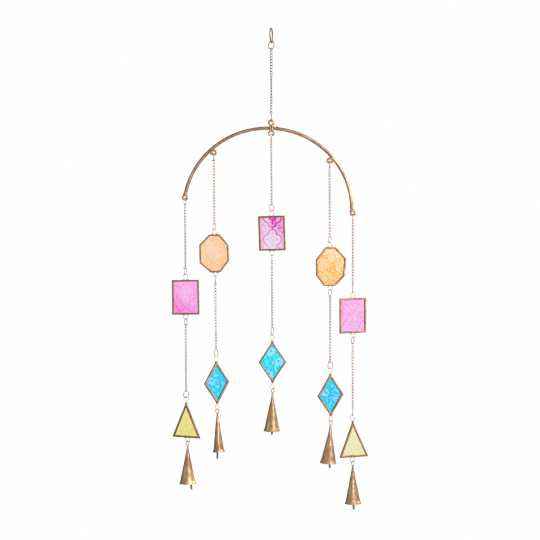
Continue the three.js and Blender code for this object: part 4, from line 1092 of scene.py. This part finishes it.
def glass_pane(outline, strand, kind, cell=0.42):
    """A closed slab cut to the outline, with the raised pattern on its front."""
    low = [min(p[i] for p in outline) for i in range(2)]
    high = [max(p[i] for p in outline) for i in range(2)]
    middle = Vector(((low[0] + high[0]) / 2, (low[1] + high[1]) / 2))
    build = bmesh.new()
    relief = build.verts.layers.float.new("relief")
    dye_and_edge_shade = build.verts.layers.float.new("dye_and_edge_shade")
    columns, rows = (math.ceil((high[i] - low[i]) / cell) for i in range(2))
    bmesh.ops.create_grid(build, x_segments=columns, y_segments=rows, size=0.5)
    for v in build.verts:
        v.co = Vector((middle.x + v.co.x * columns * cell, 0, middle.y + v.co.y * rows * cell))
    for a, b in zip(outline, [*outline[1:], outline[0]]):
        outward = Vector((a.y - b.y, 0, b.x - a.x)).normalized()
        everything = [*build.verts, *build.edges, *build.faces]
        bmesh.ops.bisect_plane(build, geom=everything, dist=1e-5, plane_co=(a.x, 0, a.y), plane_no=outward,
                               clear_outer=True)
    front = list(build.verts)
    x = np.array([v.co.x - middle.x for v in front])
    z = np.array([v.co.z - middle.y for v in front])
    raised, sunk = pattern_of(strand, kind, x, z)
    ripple = FRONT_RIPPLE * grain(x, z, 5.0, 21)
    rim = {v for edge in build.edges if edge.is_boundary for v in edge.verts}
    for v, up, down, wave in zip(front, raised, sunk, ripple):
        v[relief], v[dye_and_edge_shade] = float(up), float(down)
        v.co.y = -GLASS_THICKNESS / 2 + (0 if v in rim else RELIEF_DEPTH * (1 - up + 0.5 * down) - wave)
    grown = bmesh.ops.extrude_face_region(build, geom=build.faces[:])["geom"]
    for v in grown:
        if isinstance(v, bmesh.types.BMVert):
            v.co.y = GLASS_THICKNESS / 2 - BACK_RIPPLE * abs(noise.noise(v.co / 6))
    bmesh.ops.recalc_face_normals(build, faces=build.faces)
    mesh = bpy.data.meshes.new("glass")
    build.to_mesh(mesh)
    build.free()
    return mesh


print("pane cutter ready")

# %% [markdown]
# ## The colour of the glass
# The colour sits in the sheet and on it: deeper in some clouds, pale where the brush missed, and stronger
# or paler on the raised lines. A group mixes four colours by noise and by the relief. The shader is clear
# glass with that colour, so the white studio behind lights each pane from the back, and the pressed lines
# bend it a little.

# %% The colour group and the glasses


def glass_group():
    tree, entry, leave = new_group(
        "brushed_glass_colour",
        [("Body", "Color"), ("Cloud", "Color"), ("Pale", "Color"), ("Deep", "Color"),
         ("Cloud Scale", "Float"), ("Fleck Scale", "Float")],
        [("Color", "Color"), ("Roughness", "Float"), ("Height", "Float")])
    place = tree.nodes.new("ShaderNodeTexCoord").outputs["Object"]
    cloud, fleck = (
        add_node(tree, "ShaderNodeTexNoise", Vector=place, Scale=entry.outputs[label], Detail=detail,
                 Roughness=rough)
        for label, detail, rough in (("Cloud Scale", 4.0, 0.6), ("Fleck Scale", 2.0, 0.5)))
    colour = mix_colours(tree, spread(tree, cloud.outputs["Fac"], 0.42, 0.7), entry.outputs["Body"],
                         entry.outputs["Cloud"])
    colour = mix_colours(tree, spread(tree, fleck.outputs["Fac"], 0.55, 0.85, 0, 0.5), colour,
                         entry.outputs["Pale"])
    # The second attribute brings the deep colour: dye, and on the rose pane painted shade along the upright
    # edges.
    for attribute, label in (("relief", "Pale"), ("dye_and_edge_shade", "Deep")):
        amount = tree.nodes.new("ShaderNodeAttribute")
        amount.attribute_name = attribute
        colour = mix_colours(tree, amount.outputs["Fac"], colour, entry.outputs[label])
    join(tree, colour, leave.inputs["Color"])
    join(tree, spread(tree, fleck.outputs["Fac"], 0.3, 0.7, 0.15, 0.32), leave.inputs["Roughness"])
    join(tree, fleck.outputs["Fac"], leave.inputs["Height"])
    return tree


glass_colour = glass_group()


def glass(name, body, cloud, pale, deep, cloud_scale, fleck_scale):
    """Coloured pressed glass: four colours, and the sizes of the clouds and flecks per metre."""
    material, shader = grouped_material(
        name, glass_colour,
        {"Body": (*body, 1), "Cloud": (*cloud, 1), "Pale": (*pale, 1), "Deep": (*deep, 1),
         "Cloud Scale": cloud_scale, "Fleck Scale": fleck_scale}, 0.08, 0.0003)
    shader.inputs["Metallic"].default_value = 0.0
    shader.inputs["Transmission Weight"].default_value = 1.0
    shader.inputs["IOR"].default_value = 1.45
    return material


GLASSES = {
    ("outer_left", "pink"): glass("pink_glass", (0.95, 0.41, 0.83), (0.94, 0.35, 0.79), (0.94, 0.66, 0.91),
                                  (0.92, 0.16, 0.66), 60, 300),
    ("outer_right", "pink"): glass("pale_pink_glass", (0.94, 0.45, 0.80), (0.92, 0.39, 0.76),
                                   (0.94, 0.64, 0.89), (0.87, 0.22, 0.68), 50, 260),
    ("centre", "rose"): glass("rose_glass", (0.84, 0.64, 0.84), (0.84, 0.52, 0.80), (0.86, 0.84, 0.90),
                              (0.78, 0.01, 0.42), 80, 180),
    ("inner_left", "orange"): glass("peach_glass", (0.99, 0.62, 0.31), (0.99, 0.55, 0.24), (0.97, 0.74, 0.62),
                                    (0.99, 0.50, 0.13), 60, 170),
    ("inner_right", "orange"): glass("orange_glass", (0.95, 0.50, 0.11), (0.93, 0.44, 0.06),
                                     (0.96, 0.78, 0.58), (0.93, 0.36, 0.02), 90, 200),
    ("centre", "blue"): glass("turquoise_glass", (0.0, 0.74, 0.93), (0.0, 0.67, 0.92), (0.50, 0.90, 0.94),
                              (0.0, 0.56, 0.88), 60, 260),
    "blue": glass("blue_glass", (0.0, 0.65, 0.93), (0.0, 0.57, 0.91), (0.40, 0.84, 0.94), (0.0, 0.42, 0.86),
                  60, 260),
    ("outer_left", "yellow"): glass("yellow_glass", (0.82, 0.76, 0.22), (0.79, 0.72, 0.17),
                                    (0.86, 0.82, 0.38), (0.77, 0.69, 0.12), 60, 300),
    ("outer_right", "yellow"): glass("pale_yellow_glass", (0.85, 0.81, 0.50), (0.82, 0.78, 0.42),
                                     (0.88, 0.86, 0.60), (0.82, 0.76, 0.36), 60, 300),
}
print("glasses:", len(GLASSES))

# %% [markdown]
# ## Bells, hangers and clappers
# A bell is a wedge of thin sheet rolled to a cone, lapped at the back and beaten over a stake: round at the
# neck, flattened at the mouth, with a turned-out lip. Its rows are circles whose size and squeeze change with
# depth. Hammer marks and the lap are part of the mesh, and Solidify gives the sheet its wall. The five bells
# are the same brass, but the lights fall on them unevenly, so their brass has three tones. The centre and
# outer right bells take a darker copy, which is painted shade, and the inner right bell takes a brighter
# copy, which is painted light.

# %% The bell's shell
DENT, DENT_SIZE, FINE_DENT, FINE_DENT_SIZE, SMOOTH_NECK = 0.3, 8.0, 0.07, 3.0, 14
LAP_RISE, LAP_AT, LAP_SLANT, LAP_WIDTH, SOLID_SIDES = 0.45, 0.28, 0.0006, 1.3, 12


def bell_radius(depth):
    lip_top, body = BELL_HEIGHT - LIP_HEIGHT, MOUTH_WIDTH / 2 - LIP_FLARE
    depths = [0, NECK_LENGTH, lip_top, lip_top + LIP_HEIGHT * 0.45, BELL_HEIGHT]
    radii = [TIP_WIDTH / 2, TIP_WIDTH / 2 + NECK_SWELL, body, body + LIP_FLARE * 0.5, body + LIP_FLARE]
    return float(np.interp(depth, depths, radii))


def flattening(depth):
    return (MOUTH_WIDTH - MOUTH_DEPTH) / 2 * max(0, depth - NECK_LENGTH) / (BELL_HEIGHT - NECK_LENGTH)


def bell_shell(seed, around=72, down=84):
    points, faces = [], []
    for row in range(down + 1):
        depth = BELL_HEIGHT * row / down
        radius, squeeze = bell_radius(depth), flattening(depth)
        worked = min(1, depth / SMOOTH_NECK)
        for k in range(around):
            a = 2 * math.pi * k / around
            spot = Vector((radius * math.cos(a), radius * math.sin(a), -depth))
            dent = DENT * noise.noise(spot / DENT_SIZE + Vector((seed, 0, 0)))
            dent += FINE_DENT * noise.noise(spot / FINE_DENT_SIZE)
            from_lap = (k / around - LAP_AT - depth * LAP_SLANT) * around / LAP_WIDTH
            lap = LAP_RISE * math.exp(-(from_lap ** 2))
            out = (dent - 0.1 + lap) * worked
            x = (radius + out) * math.cos(a)
            y = (radius - squeeze + out) * math.sin(a)
            sag = RIM_SAG * math.cos(a) ** 2 * (depth / BELL_HEIGHT) ** 2
            points.append((x, y, -depth + sag))
    for row in range(down):
        this, below = row * around, (row + 1) * around
        for k in range(around):
            after = (k + 1) % around
            faces.append((this + k, below + k, below + after, this + after))
    mesh = bpy.data.meshes.new("bell")
    mesh.from_pydata(points, [], faces)
    obj = new_object("bell", mesh)
    wall = obj.modifiers.new("wall", "SOLIDIFY")
    wall.thickness = BELL_WALL
    wall.offset = -1
    return plain_copy(obj, "bell")


def room_at(depth):
    return (bell_radius(depth) - BELL_WALL - flattening(depth)) * math.cos(math.pi / SOLID_SIDES)


def depth_with_room(half_width):
    depth = NECK_LENGTH
    while room_at(depth) < half_width + GAP and depth < BELL_HEIGHT:
        depth += 0.1
    return depth


print("inner loop hangs", round(depth_with_room(INNER_LOOP / 2), 1), "mm below the apex")

# %% Hang a bell with its hanger and clapper


def hang_bell(strand, spec, place, seed):
    level = GAP + HANGER_WIRE
    loop_foot = level - HANGER_HEIGHT
    apex = loop_foot - GAP
    inner_middle = apex - depth_with_room(INNER_LOOP / 2)
    inner_top = inner_middle + INNER_LOOP / 2
    line = place @ turn(-spec["lean"], "Y")
    upper = wire(oval(HANGER_WIDTH, HANGER_HEIGHT, HANGER_WIRE), HANGER_WIRE, closed=True)
    upper.transform(shift(0, 0, level))
    stem_levels = (loop_foot + HANGER_WIRE / 2, apex - NECK_LENGTH, inner_top - HANGER_WIRE / 2)
    stem = wire([(0, 0, z) for z in stem_levels], HANGER_WIRE)
    inner = wire(oval(INNER_LOOP, INNER_LOOP, HANGER_WIRE), HANGER_WIRE, closed=True)
    inner.transform(shift(0, 0, inner_top))
    hand_over(f"{strand}_bell_wire", joined([upper, stem, inner], "hanger"),
              line @ turn(spec["hanger_turn"], "Z"), hanger_brass, [f"{strand}_bell_hanger"])
    hand_over(f"{strand}_hammered_bell", bell_shell(seed), line @ shift(0, 0, apex) @ turn(spec["turn"], "Z"),
              bell_brass[BELL_PAINTED_SHADE_AND_LIGHT.get(strand, "mid")], [f"{strand}_bell"])
    pivot = inner_middle - INNER_LOOP / 2 + HANGER_WIRE
    eye_top = GAP + HANGER_WIRE
    rod_top = eye_top - CLAPPER_EYE + HANGER_WIRE / 2
    rod_foot = apex - BELL_HEIGHT - spec["shows"] - pivot
    eye = wire(oval(CLAPPER_EYE, CLAPPER_EYE, HANGER_WIRE), HANGER_WIRE, closed=True)
    eye.transform(shift(0, 0, eye_top) @ turn(spec["hanger_turn"] + 90, "Z"))
    steps = [rod_top - (rod_top - rod_foot) * i / 30 for i in range(31)]
    rod = hand_worked(wire([(0, 0, z) for z in steps], CLAPPER_ROD, corners=14), size=3.0, depth=0.12,
                      seed=seed)
    hand_over(f"{strand}_clapper_rod", joined([eye, rod], "clapper"),
              line @ shift(0, 0, pivot) @ turn(-spec["swing"], "Y"), clapper_brass,
              [f"{strand}_clapper"])


# %% [markdown]
# ## Hanging the strands
# Everything is ready, so each strand is put together from the top down. Each step passes on the place where
# the next piece hangs.

# %% Hang a run of chain, and a framed pane


def hang_chain(strand, which, spec, place):
    mesh, rest = chain_run(spec, chain_brass)
    hand_over(f"{strand}_{which}_links", mesh, place, chain_brass, [f"{strand}_{which}_chain"])
    return place @ shift(0, 0, rest)


def hang_pane(strand, spec, place, seed):
    outline = outline_of(spec)
    top = edge_level(outline, 0, 1)
    own = place @ shift(0, 0, GAP + LOOP_WIRE - spec["above"] - top) @ turn(spec["turn"], "Z")
    loops, solder, rest = loops_and_solder(spec, outline, seed)
    name, kind = f"{strand}_{spec['name']}", spec["name"]
    metal = copper_frame if kind == "blue" else frame_brass
    hand_over(f"{name}_channel", joined([channel(outline, seed), *solder], "channel"), own, metal,
              [f"{name}_frame"])
    hand_over(f"{name}_loops", loops, own, tinned_wire, [f"{name}_frame"])
    sheet = glass_pane(inset(outline, CHANNEL_WALL + GAP), strand, kind)
    tint = GLASSES.get((strand, kind)) or GLASSES[kind]
    hand_over(f"{name}_pane", sheet, own, tint, [f"{name}_glass"])
    foot = own @ Vector((spec["foot"], 0, rest))
    rotation = place.to_3x3().to_4x4()
    return Matrix.Translation(foot) @ rotation


for number, (strand, (lean, upper, first, lower, second, ringer)) in enumerate(STRANDS.items()):
    place = Matrix.Translation(hooks[strand]) @ turn(-lean, "Y")
    place = hang_chain(strand, "upper", upper, place)
    place = hang_pane(strand, first, place, seed=20 + 10 * number)
    place = hang_chain(strand, "lower", lower, place)
    place = hang_pane(strand, second, place, seed=80 + 10 * number)
    hang_bell(strand, ringer, place, seed=5 + 3 * number)
    print(strand, "ends at", round((place.translation.z - BELL_HEIGHT) * MM, 3), "m")

# %% [markdown]
# ## The studio
# The picture has a plain white ground and soft light from the right. The decoration hangs well above a pale
# floor, so the camera, level with its middle, sees only white behind it. The world is white where it is
# looked at straight or through the glass, and a dimmer grey where it lights and is mirrored, which leaves
# the brass its shades. The picture isn't denoised and its pixel filter is a little narrow, as small links
# would blur otherwise.

# %% Floor, world and lights
FLOOR_LEVEL, FLOOR_HALF = -1.9, 3.0
WHITE_SEEN, GREY_LIT, AIM = 1.0, 0.4, (0, 0, -0.35)


def studio_floor():
    mesh = bpy.data.meshes.new("studio_floor")
    corners = [(x * FLOOR_HALF, y * FLOOR_HALF, FLOOR_LEVEL) for x, y in ((-1, -1), (1, -1), (1, 1), (-1, 1))]
    mesh.from_pydata(corners, [], [(0, 1, 2, 3)])
    material = bpy.data.materials.new("pale_floor")
    material.use_nodes = True
    shader = material.node_tree.nodes["Principled BSDF"]
    shader.inputs["Base Color"].default_value = (0.9, 0.9, 0.9, 1)
    shader.inputs["Roughness"].default_value = 0.8
    mesh.materials.append(material)
    new_object("studio_floor", mesh)


def studio_world():
    world = bpy.data.worlds.new("studio")
    world.use_nodes = True
    bpy.context.scene.world = world
    tree = world.node_tree
    tree.nodes.clear()
    seen = add_node(tree, "ShaderNodeBackground", Color=(1, 1, 1, 1), Strength=WHITE_SEEN)
    lit = add_node(tree, "ShaderNodeBackground", Color=(1, 1, 1, 1), Strength=GREY_LIT)
    path = tree.nodes.new("ShaderNodeLightPath")
    either = tree.nodes.new("ShaderNodeMath")
    either.operation = "MAXIMUM"
    join(tree, path.outputs["Is Camera Ray"], either.inputs[0])
    join(tree, path.outputs["Is Transmission Ray"], either.inputs[1])
    chosen = tree.nodes.new("ShaderNodeMixShader")
    join(tree, either.outputs[0], chosen.inputs[0])
    join(tree, lit.outputs[0], chosen.inputs[1])
    join(tree, seen.outputs[0], chosen.inputs[2])
    join(tree, chosen.outputs[0], tree.nodes.new("ShaderNodeOutputWorld").inputs["Surface"])


def softbox(name, place, width, height, power):
    light = bpy.data.lights.new(name, "AREA")
    light.shape, light.size, light.size_y, light.energy = "RECTANGLE", width, height, power
    obj = new_object(name, light)
    obj.location = place
    obj.rotation_euler = (Vector(AIM) - Vector(place)).to_track_quat("-Z", "Y").to_euler()


studio_floor()
studio_world()
softbox("key_from_the_right", (1.1, -1.75, 0.3), width=0.7, height=1.5, power=34)
softbox("edge_light_from_the_right", (1.9, 0.3, 0.7), width=1.0, height=1.6, power=46)
softbox("fill_from_the_left", (-1.4, -1.6, 0.1), width=0.9, height=1.6, power=5)
bpy.context.scene.view_settings.view_transform = "Standard"
bpy.context.scene.cycles.use_denoising = False
bpy.context.scene.cycles.filter_width = 1.25

# %% [markdown]
# ## The camera
# The bells' mouths show a hair of curve, which puts the camera about two metres off, level with the middle
# of the picture. The lens follows from how wide the picture is at the decoration: 783 mm across.

# %% Camera
CAMERA_DISTANCE, PICTURE_WIDTH, SENSOR_WIDTH = 2.0, 0.783, 36
PICTURE_MIDDLE = (-0.0019, -0.3493)

lens = bpy.data.cameras.new("camera")
lens.sensor_width = SENSOR_WIDTH
lens.lens = lens.sensor_width * CAMERA_DISTANCE / PICTURE_WIDTH
camera = new_object("camera", lens)
camera.location = (PICTURE_MIDDLE[0], -CAMERA_DISTANCE, PICTURE_MIDDLE[1])
camera.rotation_euler = (math.pi / 2, 0, 0)
bpy.context.scene.camera = camera
print("lens", round(lens.lens, 1), "mm")
